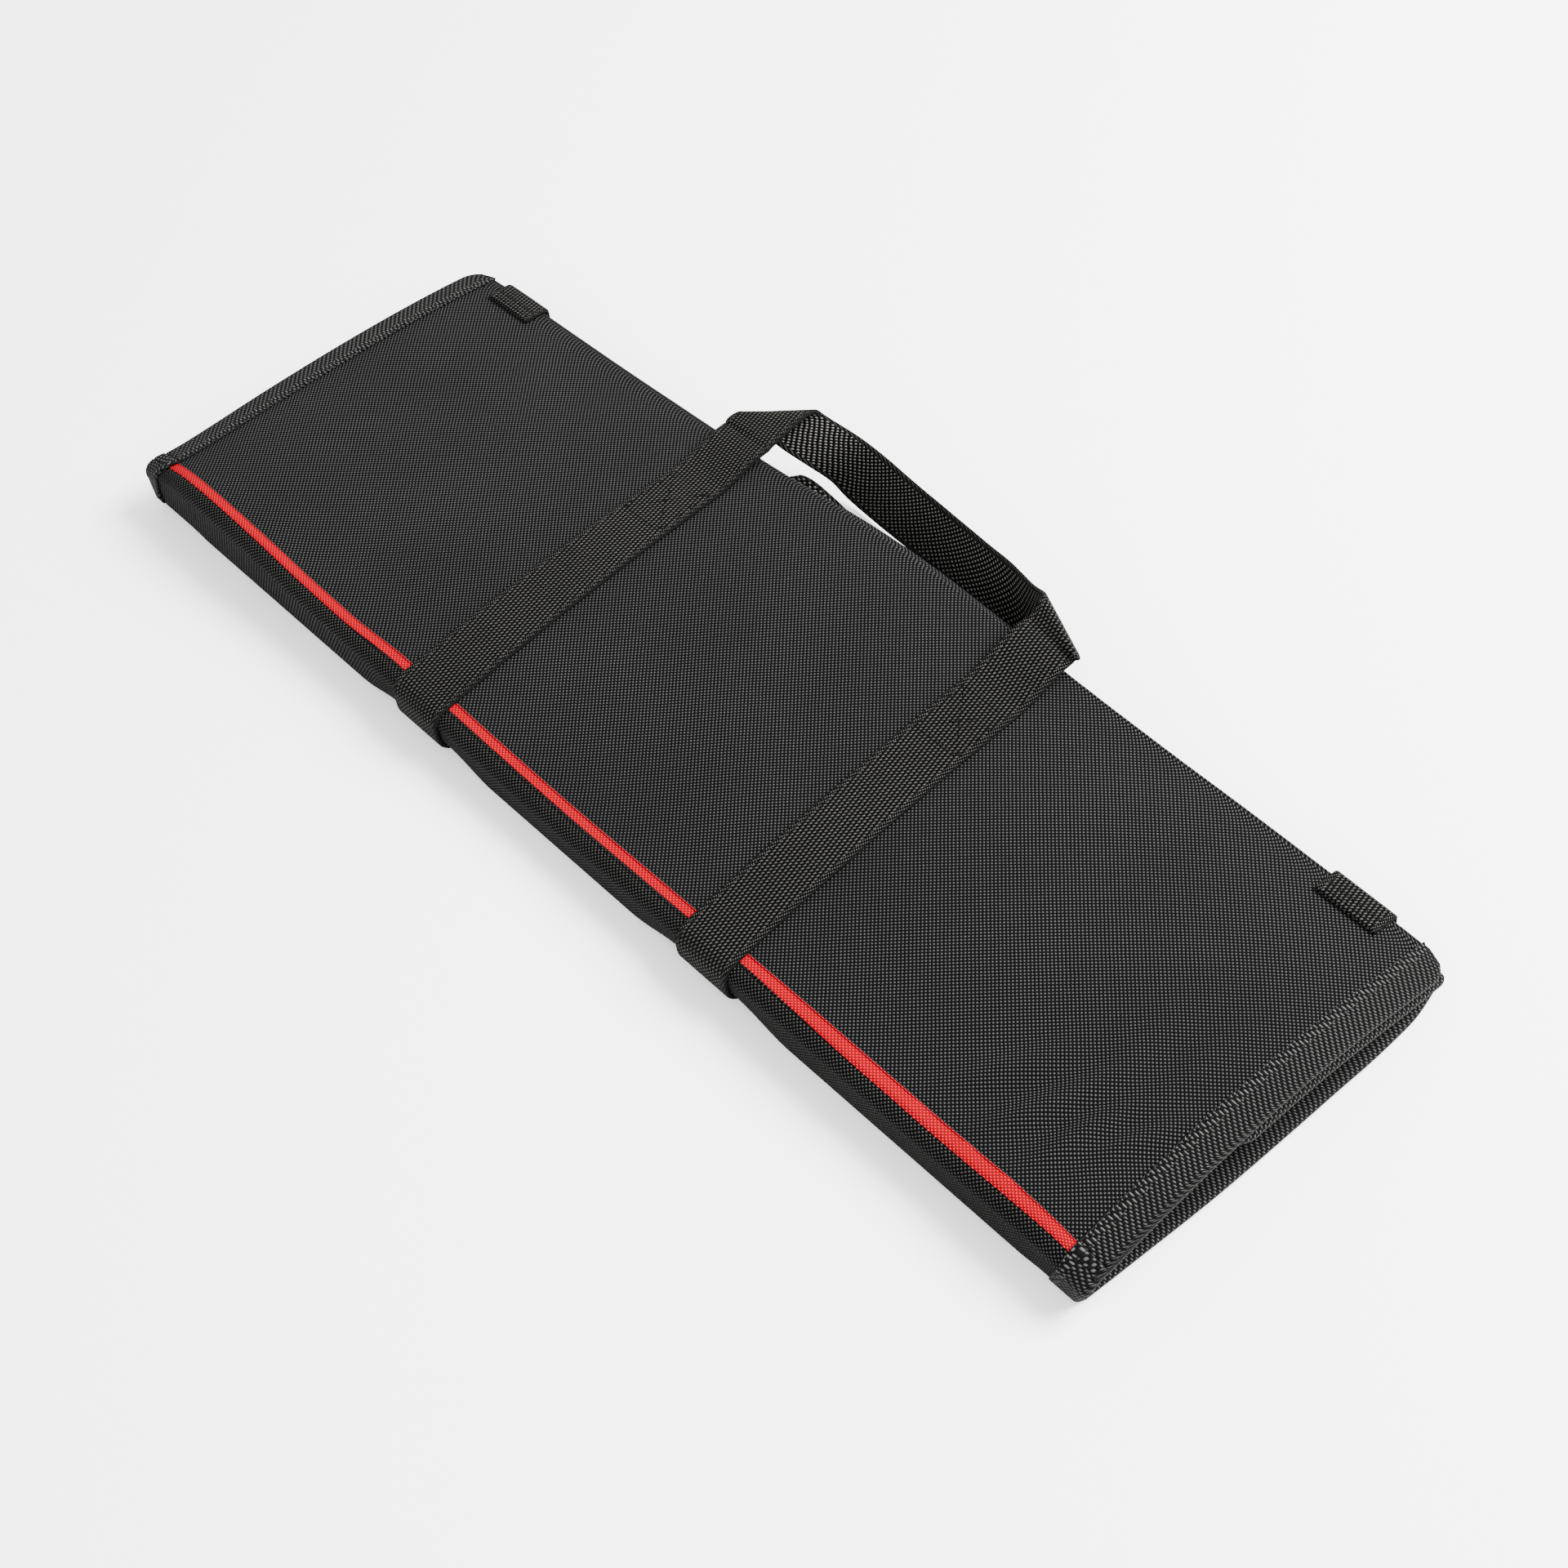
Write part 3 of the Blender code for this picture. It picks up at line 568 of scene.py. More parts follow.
def strap_grid(centre):
    """Points of a strap: under the base, up the spine and over the cover to its back edge."""
    offset = CLEARANCE + WEB_WALL / 2
    columns = []
    for x in np.linspace(centre + WEB_WIDTH / 2, centre - WEB_WIDTH / 2, 21):
        bend = float(base_radius(x))
        points = [(x, y, WEB_WALL / 2) for y in np.linspace(SEAM_Y - CLEARANCE, SPINE_Y + bend, 90)[:-1]]
        low = float(base_lift(x, SPINE_Y)) + bend
        for turn in np.linspace(0, pi / 2, 10):
            points.append((x, SPINE_Y + bend - (bend + offset) * sin(turn),
                           low - (bend + offset) * cos(turn)))
        high = float(cover_top(x, SPINE_Y + SPINE_RADIUS)) - SPINE_RADIUS
        for share in np.linspace(0, 1, 12)[1:-1]:
            points.append((x, SPINE_Y - offset, mix(low, high, share)))
        for turn in np.linspace(pi / 2, 0, 10):
            points.append((x, SPINE_Y + SPINE_RADIUS - (SPINE_RADIUS + offset) * sin(turn),
                           high + (SPINE_RADIUS + offset) * cos(turn)))
        y = np.linspace(SPINE_Y + SPINE_RADIUS, BACK_Y, 112)[1:]
        points += [(x + lean(v), v, float(strap_height(x + lean(v), v))) for v in y]
        columns.append(points)
    return np.array(columns).transpose(1, 0, 2)


def upper_points(row, side):
    centre = side * STRAP_SPACING / 2 + STRAP_SLANT
    return [(centre - side * run * WEB_WIDTH, BACK_Y + reach * HANDLE_REACH, height * CASE_HEIGHT)
            for run, reach, height in (row[0:3], row[3:6])]


def lower_points(row, side):
    centre = side * STRAP_SPACING / 2
    back = BACK_Y - (LOWER_LEAN if side > 0 else 0.0)
    return [(centre - side * run * WEB_WIDTH, back + reach * HANDLE_REACH, layers * STRAP_LAYER)
            for run, reach, layers in (row[0:3], row[3:6])]


def strap_end(side):
    ends = []
    for edge in (-side, side):
        x = side * STRAP_SPACING / 2 + STRAP_SLANT + edge * WEB_WIDTH / 2
        ends.append((x, BACK_Y + SEAM_GAP, float(strap_height(x, BACK_Y))))
    return ends


def under_end(side):
    centre = side * STRAP_SPACING / 2
    return [(centre + edge * WEB_WIDTH / 2, SEAM_Y, WEB_WALL / 2) for edge in (-side, side)]


def handle_grid(left, right, run_steps, count, columns=21):
    """Points of a handle: a fold from one strap, a straight run and the fold to the other strap."""
    left, right = np.array(left), np.array(right)
    run = [mix(left[-1], right[-1], step / run_steps) for step in range(1, run_steps)]
    rows = np.concatenate([left, run, right[::-1]]).reshape(-1, 6)
    edges = smooth_rows(rows, count).reshape(-1, 2, 3)
    share = np.linspace(0, 1, columns)[None, :, None]
    return mix(edges[:, :1], edges[:, 1:], share)


def tab_grid(centre):
    """Points of a closure tab: from the cover over its back edge and down the back fold."""
    offset = CLEARANCE + WEB_WALL / 2
    columns = []
    for x in np.linspace(centre + WEB_WIDTH / 2, centre - WEB_WIDTH / 2, 21):
        behind = max(BACK_Y, float(nose_y(x)) + PANEL_WALL / 2) + offset
        top = float(cover_top(x, BACK_Y))
        line = [(x, BACK_Y - TAB_REACH * share, float(cover_top(x, BACK_Y - TAB_REACH * share)) + offset)
                for share in (1.0, 0.88, 0.75, 0.6, 0.45, 0.3, 0.15)]
        for turn in np.linspace(pi / 2, 0, 5):
            line.append((x, behind - offset + offset * cos(turn), top + offset * sin(turn)))
        line += [(x, behind, top - TAB_DROP * share) for share in (0.25, 0.5, 0.75, 1.0)]
        columns.append(line)
    grid = np.array(columns).transpose(1, 0, 2)
    rows = smooth_rows(grid.reshape(len(grid), -1), 22)
    return rows.reshape(22, 21, 3)


# Finishes

# DARK colours are each cloth's own colour with painted shade between its threads; LIGHT colours add a
# painted highlight on the threads on top; GLINT colours are painted glints.
TRIM_DARK = (0.06, 0.0, 0.001)
TRIM_LIGHT = (0.42, 0.0, 0.010)
TRIM_GLINT = (0.50, 0.04, 0.04)
RIBBON_DARK = (0.0018, 0.0018, 0.0018)
RIBBON_LIGHT = (0.042, 0.042, 0.041)
RIBBON_GLINT = (0.16, 0.16, 0.155)
RIBBON_PICK = (0.12, 0.12, 0.117)
# Painted highlight for the ribbon's folded outer edge.
RIBBON_FOLD_HIGHLIGHT = (0.06, 0.06, 0.058)
WEBBING_DARK = (0.0005, 0.0005, 0.0004)
WEBBING_LIGHT = (0.052, 0.051, 0.048)
# Painted light for the webbing's back face, which lies in shade.
WEBBING_BACK_PAINTED_LIGHT = (0.110, 0.108, 0.102)
WEBBING_GLINT = (0.16, 0.16, 0.15)
# Painted shade for the webbing's edges.
WEBBING_EDGE_SHADE = (0.004, 0.004, 0.004)
HALF_GIRTH = WEB_WIDTH - WEB_WALL + pi * WEB_WALL / 2


def new_group(name, inputs, outputs):
    group = bpy.data.node_groups.new(name, "ShaderNodeTree")
    for label, kind, value in inputs:
        socket = group.interface.new_socket(name=label, in_out="INPUT", socket_type=kind)
        if value is not None:
            socket.default_value = value
    for label, kind in outputs:
        group.interface.new_socket(name=label, in_out="OUTPUT", socket_type=kind)
    return group, group.nodes.new("NodeGroupInput"), group.nodes.new("NodeGroupOutput")


def calc(tree, operation, *values, clamp=False):
    """A Math node on numbers or sockets, and its result."""
    node = tree.nodes.new("ShaderNodeMath")
    node.operation = operation
    node.use_clamp = clamp
    for socket, value in zip(node.inputs, values):
        if isinstance(value, (int, float)):
            socket.default_value = value
        else:
            tree.links.new(value, socket)
    return node.outputs[0]


def mix_value(tree, mask, low, high):
    """A Mix node on numbers, and its result."""
    node = tree.nodes.new("ShaderNodeMix")
    node.data_type = "FLOAT"
    sockets = {socket.identifier: socket for socket in node.inputs}
    for key, value in (("Factor_Float", mask), ("A_Float", low), ("B_Float", high)):
        if isinstance(value, (int, float)):
            sockets[key].default_value = value
        else:
            tree.links.new(value, sockets[key])
    return [socket for socket in node.outputs if socket.identifier == "Result_Float"][0]


def smooth_mask(tree, value, low, high):
    node = tree.nodes.new("ShaderNodeMapRange")
    node.interpolation_type = "SMOOTHSTEP"
    tree.links.new(value, node.inputs["Value"])
    node.inputs["From Min"].default_value = low
    node.inputs["From Max"].default_value = high
    return node.outputs["Result"]


def noise(tree, vector, scale, detail=2.0):
    node = tree.nodes.new("ShaderNodeTexNoise")
    node.inputs["Scale"].default_value = scale
    node.inputs["Detail"].default_value = detail
    tree.links.new(vector, node.inputs["Vector"])
    return node.outputs["Fac"]


def stretched(tree, vector, scale):
    node = tree.nodes.new("ShaderNodeMapping")
    node.inputs["Scale"].default_value = scale
    tree.links.new(vector, node.inputs["Vector"])
    return node.outputs["Vector"]


def weave_group():
    """Over-and-under threads. Floats is 1 on the threads that lie on top, Height is their relief."""
    group, inlet, outlet = new_group(
        "thread_weave",
        [("Vector", "NodeSocketVector", None), ("Pitch U", "NodeSocketFloat", 0.001),
         ("Pitch V", "NodeSocketFloat", 0.001), ("Slant", "NodeSocketFloat", 0.0),
         ("Waver", "NodeSocketFloat", 0.1)],
        [("Floats", "NodeSocketFloat"), ("Height", "NodeSocketFloat")])
    split = group.nodes.new("ShaderNodeSeparateXYZ")
    group.links.new(inlet.outputs["Vector"], split.inputs[0])
    wander = calc(group, "SUBTRACT", noise(group, inlet.outputs["Vector"], 170, 3), 0.5)
    drift = calc(group, "MULTIPLY", wander, inlet.outputs["Waver"])
    across = calc(group, "ADD", calc(group, "DIVIDE", split.outputs["X"], inlet.outputs["Pitch U"]), drift)
    down = calc(group, "DIVIDE", split.outputs["Y"], inlet.outputs["Pitch V"])
    slanted = calc(group, "MULTIPLY", across, inlet.outputs["Slant"])
    down = calc(group, "ADD", calc(group, "ADD", down, slanted), drift)
    wave_u = calc(group, "COSINE", calc(group, "MULTIPLY", across, pi))
    wave_v = calc(group, "COSINE", calc(group, "MULTIPLY", down, pi))
    over = calc(group, "MULTIPLY", wave_u, wave_v)
    group.links.new(smooth_mask(group, over, 0.05, 0.75), outlet.inputs["Floats"])
    group.links.new(calc(group, "POWER", calc(group, "ABSOLUTE", over), 0.55), outlet.inputs["Height"])
    return group


def place_group(tree, group, vector, **values):
    node = tree.nodes.new("ShaderNodeGroup")
    node.node_tree = group
    if vector is not None:
        tree.links.new(vector, node.inputs["Vector"])
    for name, value in values.items():
        node.inputs[name.replace("_", " ")].default_value = value
    return node


def fibre_group():
    """Uneven threads: broad shade, streaks along both threads, and fine specks that carry painted glints."""
    group, inlet, outlet = new_group(
        "fibre_shade",
        [("Vector", "NodeSocketVector", None)],
        [("Shade", "NodeSocketFloat"), ("Glint specks", "NodeSocketFloat")])
    vector = inlet.outputs["Vector"]
    broad = noise(group, vector, 14, 3)
    streak_u = noise(group, stretched(group, vector, (30, 900, 1)), 1.0, 2)
    streak_v = noise(group, stretched(group, vector, (900, 30, 1)), 1.0, 2)
    shade = calc(group, "ADD", calc(group, "MULTIPLY", broad, 0.5),
                 calc(group, "MULTIPLY", calc(group, "ADD", streak_u, streak_v), 0.25))
    group.links.new(shade, outlet.inputs["Shade"])
    # Painted glints: fine bright specks, given the GLINT colours on the threads on top.
    glint_specks = smooth_mask(group, noise(group, vector, 1500, 2), 0.66, 0.80)
    group.links.new(glint_specks, outlet.inputs["Glint specks"])
    return group


def shader_for(name, roughness):
    material = bpy.data.materials.new(name)
    material.use_nodes = True
    tree = material.node_tree
    shader = tree.nodes["Principled BSDF"]
    shader.inputs["Roughness"].default_value = roughness
    shader.inputs["Sheen Weight"].default_value = 0.003
    shader.inputs["Sheen Roughness"].default_value = 0.5
    shader.inputs["Specular IOR Level"].default_value = 0.15
    shader.inputs["IOR"].default_value = 1.15
    spread = tree.nodes.new("ShaderNodeUVMap")
    spread.uv_map = "UVMap"
    return material, tree, shader, spread.outputs["UV"]


def blend_colour(tree, mask, low, high):
    node = tree.nodes.new("ShaderNodeMix")
    node.data_type = "RGBA"
    sockets = {socket.identifier: socket for socket in node.inputs}
    for key, value in (("A_Color", low), ("B_Color", high)):
        if isinstance(value, tuple):
            sockets[key].default_value = (*value, 1.0)
        else:
            tree.links.new(value, sockets[key])
    if isinstance(mask, (int, float)):
        sockets["Factor_Float"].default_value = mask
    else:
        tree.links.new(mask, sockets["Factor_Float"])
    return [socket for socket in node.outputs if socket.identifier == "Result_Color"][0]


def relief(tree, shader, height, strength, distance):
    bump = tree.nodes.new("ShaderNodeBump")
    bump.inputs["Strength"].default_value = strength
    bump.inputs["Distance"].default_value = distance
    tree.links.new(height, bump.inputs["Height"])
    tree.links.new(bump.outputs["Normal"], shader.inputs["Normal"])


WEAVE = weave_group()
FIBRE = fibre_group()


def thread_colour(tree, floats, fibre, dark, light, glint, low=0.35, gain=1.1):
    """Painted shade under the threads that lie on top, a painted highlight on them, with uneven shade and
    painted glints.
    """
    amount = calc(tree, "MULTIPLY", floats,
                  calc(tree, "ADD", calc(tree, "MULTIPLY", fibre.outputs["Shade"], gain), low), clamp=True)
    colour = blend_colour(tree, amount, dark, light)
    return blend_colour(tree, calc(tree, "MULTIPLY", fibre.outputs["Glint specks"], floats), colour, glint)


def woven_finish(name, dark, light, glint, pitch, waver, roughness, relief_depth):
    """A woven cloth: its own colour with painted shade on the threads under, a painted highlight on the
    threads over, uneven shade and painted glints.
    """
    material, tree, shader, vector = shader_for(name, roughness)
    weave = place_group(tree, WEAVE, vector, Pitch_U=pitch[0], Pitch_V=pitch[1], Waver=waver)
    fibre = place_group(tree, FIBRE, vector)
    floats = weave.outputs["Floats"]
    tree.links.new(thread_colour(tree, floats, fibre, dark, light, glint), shader.inputs["Base Color"])
    rough = calc(tree, "SUBTRACT", roughness, calc(tree, "MULTIPLY", floats, 0.12))
    tree.links.new(rough, shader.inputs["Roughness"])
    relief(tree, shader, weave.outputs["Height"], 0.9, relief_depth)
    return material


def trim_finish(name):
    """Red twill with painted shade in its pits in rows, the painted shade a little deeper towards the spine
    strip, on the trim's lower side.
    """
    material, tree, shader, vector = shader_for(name, 0.66)
    split = tree.nodes.new("ShaderNodeSeparateXYZ")
    tree.links.new(vector, split.inputs[0])
    down = calc(tree, "MULTIPLY", split.outputs["Y"], 1000.0)
    weave = place_group(tree, WEAVE, vector, Pitch_U=0.00078, Pitch_V=0.00070, Waver=0.35)
    fibre = place_group(tree, FIBRE, vector)
    # Painted shade: the pits darken further towards the spine strip, on the trim's lower, shaded side.
    lower = smooth_mask(tree, down, 0.5, -0.9)
    under = calc(tree, "SUBTRACT", 1.0, weave.outputs["Floats"])
    depth = calc(tree, "ADD", calc(tree, "MULTIPLY", lower, 0.14), 0.80)
    pits = calc(tree, "SUBTRACT", 1.0, calc(tree, "MULTIPLY", under, depth))
    colour = thread_colour(tree, pits, fibre, TRIM_DARK, TRIM_LIGHT, TRIM_GLINT, 0.6, 0.9)
    tree.links.new(colour, shader.inputs["Base Color"])
    relief(tree, shader, weave.outputs["Height"], 0.8, 0.00015)
    return material


def ribbon_finish(name):
    """Ribbed ribbon: short picks on its faces, long bright picks along its inner edges, and a painted
    highlight along its folded outer edge.
    """
    material, tree, shader, vector = shader_for(name, 0.66)
    split = tree.nodes.new("ShaderNodeSeparateXYZ")
    tree.links.new(vector, split.inputs[0])
    across = calc(tree, "MULTIPLY", calc(tree, "ABSOLUTE", split.outputs["Y"]), 1000.0)
    short = place_group(tree, WEAVE, vector, Pitch_U=0.00074, Pitch_V=0.00135, Slant=0.30, Waver=0.6)
    long = place_group(tree, WEAVE, vector, Pitch_U=0.00074, Pitch_V=0.00240, Slant=0.15, Waver=0.6)
    fibre = place_group(tree, FIBRE, vector)
    near_edge = calc(tree, "MULTIPLY", smooth_mask(tree, across, 9.3, 9.9),
                     smooth_mask(tree, across, 12.9, 12.5))
    # Painted highlight along the ribbon's folded outer edge, where it turns round the end of the case.
    fold = smooth_mask(tree, across, 0.45, 0.15)
    floats = mix_value(tree, near_edge, short.outputs["Floats"], long.outputs["Floats"])
    height = mix_value(tree, near_edge, short.outputs["Height"], long.outputs["Height"])
    colour = thread_colour(tree, floats, fibre, RIBBON_DARK, RIBBON_LIGHT, RIBBON_GLINT, 0.25, 1.3)
    colour = blend_colour(tree, calc(tree, "MULTIPLY", calc(tree, "MULTIPLY", near_edge, floats), 0.18),
                          colour, RIBBON_PICK)
    colour = blend_colour(tree, calc(tree, "MULTIPLY", fold, 0.25), colour, RIBBON_FOLD_HIGHLIGHT)
    tree.links.new(colour, shader.inputs["Base Color"])
    relief(tree, shader, height, 1.0, 0.0004)
    return material


def webbing_finish(name):
    """Webbing: slanted floats on its face, dots on its back painted lighter against the shade there, close
    threads at both selvedges, painted shade along its edges.
    """
    material, tree, shader, vector = shader_for(name, 0.72)
    split = tree.nodes.new("ShaderNodeSeparateXYZ")
    tree.links.new(vector, split.inputs[0])
    turned = calc(tree, "ADD", calc(tree, "DIVIDE", split.outputs["Y"], HALF_GIRTH), 0.5)
    side = calc(tree, "FLOOR", turned)
    back = smooth_mask(tree, calc(tree, "ABSOLUTE", side), 0.4, 0.6)
    from_edge = calc(tree, "SUBTRACT", 0.5,
                     calc(tree, "ABSOLUTE", calc(tree, "SUBTRACT", calc(tree, "FRACT", turned), 0.5)))
    selvedge = smooth_mask(tree, from_edge, 0.115, 0.085)
    face = place_group(tree, WEAVE, vector, Pitch_U=0.00140, Pitch_V=0.00078, Slant=0.62, Waver=0.5)
    dots = place_group(tree, WEAVE, vector, Pitch_U=0.00120, Pitch_V=0.00115, Waver=0.6)
    close = place_group(tree, WEAVE, vector, Pitch_U=0.00075, Pitch_V=0.00062, Slant=-0.5, Waver=0.4)
    fibre = place_group(tree, FIBRE, vector)

    def chosen(output):
        value = mix_value(tree, back, face.outputs[output], dots.outputs[output])
        return mix_value(tree, selvedge, value, close.outputs[output])

    floats = chosen("Floats")
    # The back face is painted lighter than the front, against the shade that falls on it.
    inside = calc(tree, "MULTIPLY", back, calc(tree, "SUBTRACT", 1.0, selvedge))
    light = blend_colour(tree, inside, WEBBING_LIGHT, WEBBING_BACK_PAINTED_LIGHT)
    colour = thread_colour(tree, floats, fibre, WEBBING_DARK, light, WEBBING_GLINT, 0.05, 1.5)
    # Painted shade along the webbing's edges.
    edge_shade = smooth_mask(tree, from_edge, 0.050, 0.020)
    colour = blend_colour(tree, calc(tree, "MULTIPLY", edge_shade, 0.8), colour, WEBBING_EDGE_SHADE)
    tree.links.new(colour, shader.inputs["Base Color"])
    relief(tree, shader, chosen("Height"), 1.0, 0.0006)
    return material


PANEL = woven_finish("panel_weave", (0.0010, 0.0010, 0.0011), (0.034, 0.034, 0.035), (0.09, 0.09, 0.09),
                     (0.00087, 0.00087), 0.25, 0.78, 0.0003)
SPINE = woven_finish("spine_weave", (0.0003, 0.0003, 0.0003), (0.030, 0.030, 0.029), (0.06, 0.06, 0.06),
                     (0.00082, 0.00082), 0.35, 0.86, 0.0003)
THREAD = woven_finish("sewing_thread", (0.0006, 0.0006, 0.0006), (0.004, 0.004, 0.004), (0.02, 0.02, 0.02),
                      (0.0003, 0.0003), 0.3, 0.60, 0.0001)
RIBBON = ribbon_finish("ribbon_weave")
TRIM = trim_finish("trim_weave")
WEBBING = webbing_finish("webbing_weave")

# Stitches

def stitch_row(name, rows, length, gap):
    """Stitches along rows of points: one stitch is modelled, and its copies follow each row."""
    bpy.ops.object.select_all(action="DESELECT")
    bpy.ops.mesh.primitive_uv_sphere_add(segments=6, ring_count=5, radius=0.5)
    one = bpy.context.object
    shape = np.array([tuple(v.co) for v in one.data.vertices])
    faces = [tuple(face.vertices) for face in one.data.polygons]
    bpy.data.objects.remove(one, do_unlink=True)
    shape = shape[:, (2, 0, 1)] * (length, STITCH_THICK, STITCH_THICK * 0.7)
    points, polygons, spread = [], [], []
    for path, out in rows:
        moved = np.concatenate([[0], np.cumsum(np.linalg.norm(np.diff(path, axis=0), axis=1))])
        places = np.arange(length * 0.6, moved[-1] - length * 0.4, length + gap)
        for place in places:
            here, behind, ahead = (np.array([np.interp(place + shift, moved, path[:, k]) for k in range(3)])
                                   for shift in (0.0, -length / 2, length / 2))
            if here[2] < UNDERSIDE:
                continue
            normal = unit(np.array([np.interp(place, moved, out[:, k]) for k in range(3)]))
            along = unit(ahead - behind)
            side = unit(np.cross(normal, along))
            base = len(points)
            points += list(here + shape[:, :1] * along + shape[:, 1:2] * side + shape[:, 2:] * normal)
            polygons += [tuple(base + k for k in face) for face in faces]
            spread += [(place + k[0], k[1]) for k in shape]
    mesh = bpy.data.meshes.new(name)
    mesh.from_pydata([tuple(point) for point in points], [], polygons)
    layer = mesh.uv_layers.new(name="UVMap")
    for loop in mesh.loops:
        layer.data[loop.index].uv = spread[loop.vertex_index]
    piece = bpy.data.objects.new(name, mesh)
    bpy.context.scene.collection.objects.link(piece)
    bpy.context.view_layer.objects.active = piece
    piece.select_set(True)
    bpy.ops.object.shade_smooth()
    return piece


def along_column(grid, column, wall, rows=slice(None)):
    """A row of points on the outer face of a grid of cloth, along one of its columns."""
    along = unit(np.gradient(grid, axis=0))
    across = unit(np.gradient(grid, axis=1))
    face = unit(np.cross(along, across))[rows, column]
    return grid[rows, column] + face * (wall / 2 + STITCH_LIFT), face


def across_row(grid, row, wall, columns):
    """A row of points on the outer face of a grid of cloth, across one of its rows."""
    along = unit(np.gradient(grid, axis=0))
    across = unit(np.gradient(grid, axis=1))
    face = unit(np.cross(along, across))[row, columns]
    return grid[row, columns] + face * (wall / 2 + STITCH_LIFT), face


def on_strap(corners):
    """Points along straight lines between corners on top of a strap, with their outward direction."""
    line = []
    for start, end in zip(corners[:-1], corners[1:]):
        line += [mix(np.array(start), np.array(end), share) for share in np.linspace(0, 1, 13)[:-1]]
    line.append(np.array(corners[-1]))
    line = np.array(line)
    height = np.array([float(strap_height(x, y)) for x, y in line]) + WEB_WALL / 2 + STITCH_LIFT
    return np.column_stack([line, height]), np.tile((0.0, 0.0, 1.0), (len(line), 1))


# The pieces

STATIONS = 240 if SLOW else 120
made = {}
grids = {}
for name, path, free_edge, wall, finish_name, slot in (
        ("top_cover", cover_path, BACK_Y, PANEL_WALL, PANEL, "panel_cloth"),
        ("red_trim", trim_path, None, TRIM_WALL, TRIM, "trim_cloth"),
        ("spine_strip", spine_path, None, PANEL_WALL, SPINE, "spine_cloth"),
        ("base_panel", base_path, None, PANEL_WALL, PANEL, "panel_cloth"),
        ("inner_flap", flap_path, BACK_Y - FLAP_DEPTH, PANEL_WALL, PANEL, "panel_cloth")):
    grids[name] = panel_grid(path, free_edge, STATIONS)
    made[name] = cloth(name + "_cloth", grids[name], wall, finish_name, slot, name)
for side, place in ((-1, "left"), (1, "right")):
    name = "end_binding_" + place
    grids[name] = binding_grid(side)
    made[name] = cloth(name + "_ribbon", grids[name], RIBBON_WALL, RIBBON, "ribbon", name)
    name = "closure_tab_" + place
    grids[name] = tab_grid(side * (HALF - TAB_INSET))
    made[name] = cloth(name + "_webbing", grids[name], WEB_WALL, WEBBING, "webbing", name)
upper = [[strap_end(side)] + [upper_points(row, side) for row in fold]
         for side, fold in ((-1, LEFT_FOLD), (1, RIGHT_FOLD))]
straps = [strap_grid(side * STRAP_SPACING / 2) for side in (-1, 1)]
carry = np.concatenate([straps[0], handle_grid(upper[0], upper[1], 4, 190), straps[1][::-1, ::-1]])
made["carry"] = cloth("carry_strap_webbing", carry, WEB_WALL, WEBBING, "webbing",
                      "strap_left", "handle_upper", "strap_right")
lower = [[under_end(side)] + [lower_points(row, side) for row in LOWER_FOLD] for side in (-1, 1)]
made["lower"] = cloth("handle_lower_webbing", handle_grid(lower[0], lower[1], 3, 180), WEB_WALL, WEBBING,
                      "webbing", "handle_lower")

# Sewn boxes on the straps: left, right, near and far side of each.
SEWN_BOXES = (
    (-0.0882, -0.0692, 0.0125, 0.0378),
    (0.0658, 0.0850, 0.0118, 0.0352),
)
box_rows = []
for left, right, near, far in SEWN_BOXES:
    box_rows.append(on_strap([(left, near), (right, near), (right, far), (left, far), (left, near)]))
    box_rows += [on_strap([(left, near), (right, far)]), on_strap([(right, near), (left, far)])]
tab_rows = [across_row(grids["closure_tab_" + place], row, WEB_WALL, slice(1, -1))
            for place in ("left", "right") for row in (2, 5)]
# Stitches: piece, rows of points, length of a stitch, gap between two.
sewn = (
    ("strap_box_stitches", box_rows, 0.0021, 0.0007),
    ("spine_stitches", [along_column(grids["spine_strip"], -4, PANEL_WALL)], 0.0022, 0.0009),
    ("ribbon_left_stitches", [along_column(grids["end_binding_left"], k, RIBBON_WALL, slice(4, -4))
                              for k in (1, -2)], 0.0022, 0.0009),
    ("ribbon_right_stitches", [along_column(grids["end_binding_right"], k, RIBBON_WALL, slice(4, -4))
                               for k in (1, -2)], 0.0022, 0.0009),
    ("tab_stitches", tab_rows, 0.0020, 0.0007),
)
for name, rows, length, gap in sewn:
    made[name] = stitch_row(name, rows, length, gap)
    finish(made[name], THREAD)

# Floor, light and camera

FLOOR_DROP = 0.0002
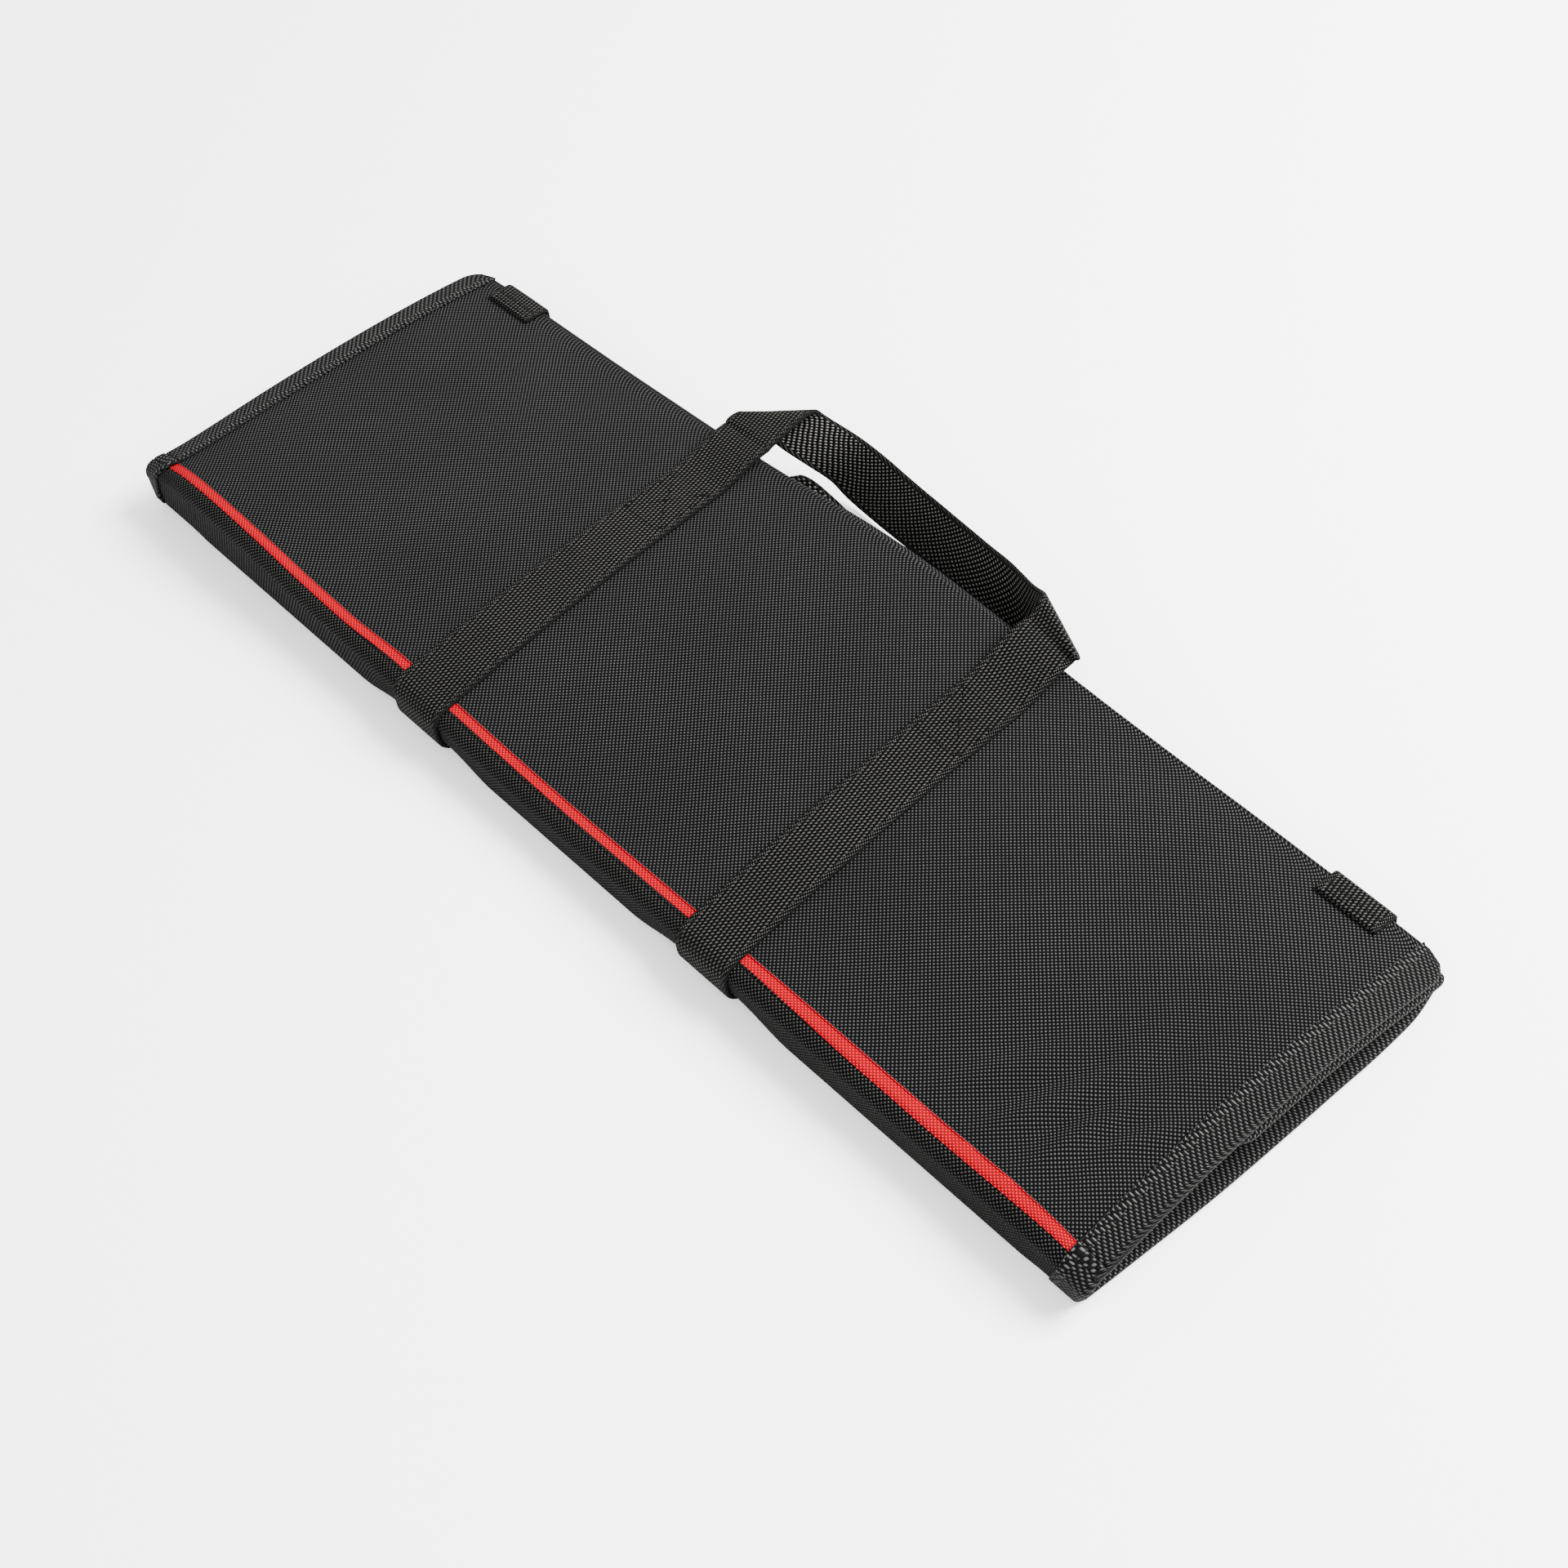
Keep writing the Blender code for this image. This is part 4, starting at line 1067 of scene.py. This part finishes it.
# Lamps: name, place, size, power.
LAMPS = (
    ("window_light", (0.75, 1.15, 1.35), 1.1, 235.0),
    ("fill_light", (1.2, -1.3, 1.6), 1.8, 60.0),
)
CAMERA_PLACE = (0.466172, -0.332502, 0.665771)
CAMERA_RIGHT = (0.674374, 0.731924, -0.097506)
CAMERA_DOWN = (0.536472, -0.576406, -0.616403)
CAMERA_FORWARD = (-0.507364, 0.363377, -0.781370)


def stage_and_camera():
    bpy.ops.object.select_all(action="DESELECT")
    bpy.ops.mesh.primitive_plane_add(size=12.0, location=(0, 0, -FLOOR_DROP))
    floor = bpy.context.object
    floor.name = "studio_floor"
    bpy.ops.object.transform_apply(location=True, rotation=True, scale=True)
    paper = bpy.data.materials.new("studio_paper")
    paper.use_nodes = True
    shader = paper.node_tree.nodes["Principled BSDF"]
    shader.inputs["Base Color"].default_value = (0.93, 0.93, 0.93, 1.0)
    shader.inputs["Roughness"].default_value = 0.9
    floor.data.materials.append(paper)

    world = bpy.data.worlds.new("soft_room")
    bpy.context.scene.world = world
    world.use_nodes = True
    world.node_tree.nodes["Background"].inputs["Color"].default_value = (1.0, 1.0, 1.0, 1.0)
    world.node_tree.nodes["Background"].inputs["Strength"].default_value = 1.95
    for name, place, size, power in LAMPS:
        lamp = bpy.data.lights.new(name, "AREA")
        lamp.energy = power
        lamp.size = size
        item = bpy.data.objects.new(name, lamp)
        bpy.context.scene.collection.objects.link(item)
        item.location = place
        item.rotation_euler = (-Vector(place)).to_track_quat("-Z", "Y").to_euler()

    lens = bpy.data.cameras.new("photo_camera")
    lens.lens = 56.25
    lens.sensor_width = 36.0
    lens.clip_start = 0.01
    camera = bpy.data.objects.new("photo_camera", lens)
    bpy.context.scene.collection.objects.link(camera)
    right, down, forward = (Vector(line) for line in (CAMERA_RIGHT, CAMERA_DOWN, CAMERA_FORWARD))
    turn = Matrix((right, -down, -forward)).transposed().to_4x4()
    camera.matrix_world = Matrix.Translation(CAMERA_PLACE) @ turn
    bpy.context.scene.camera = camera


stage_and_camera()
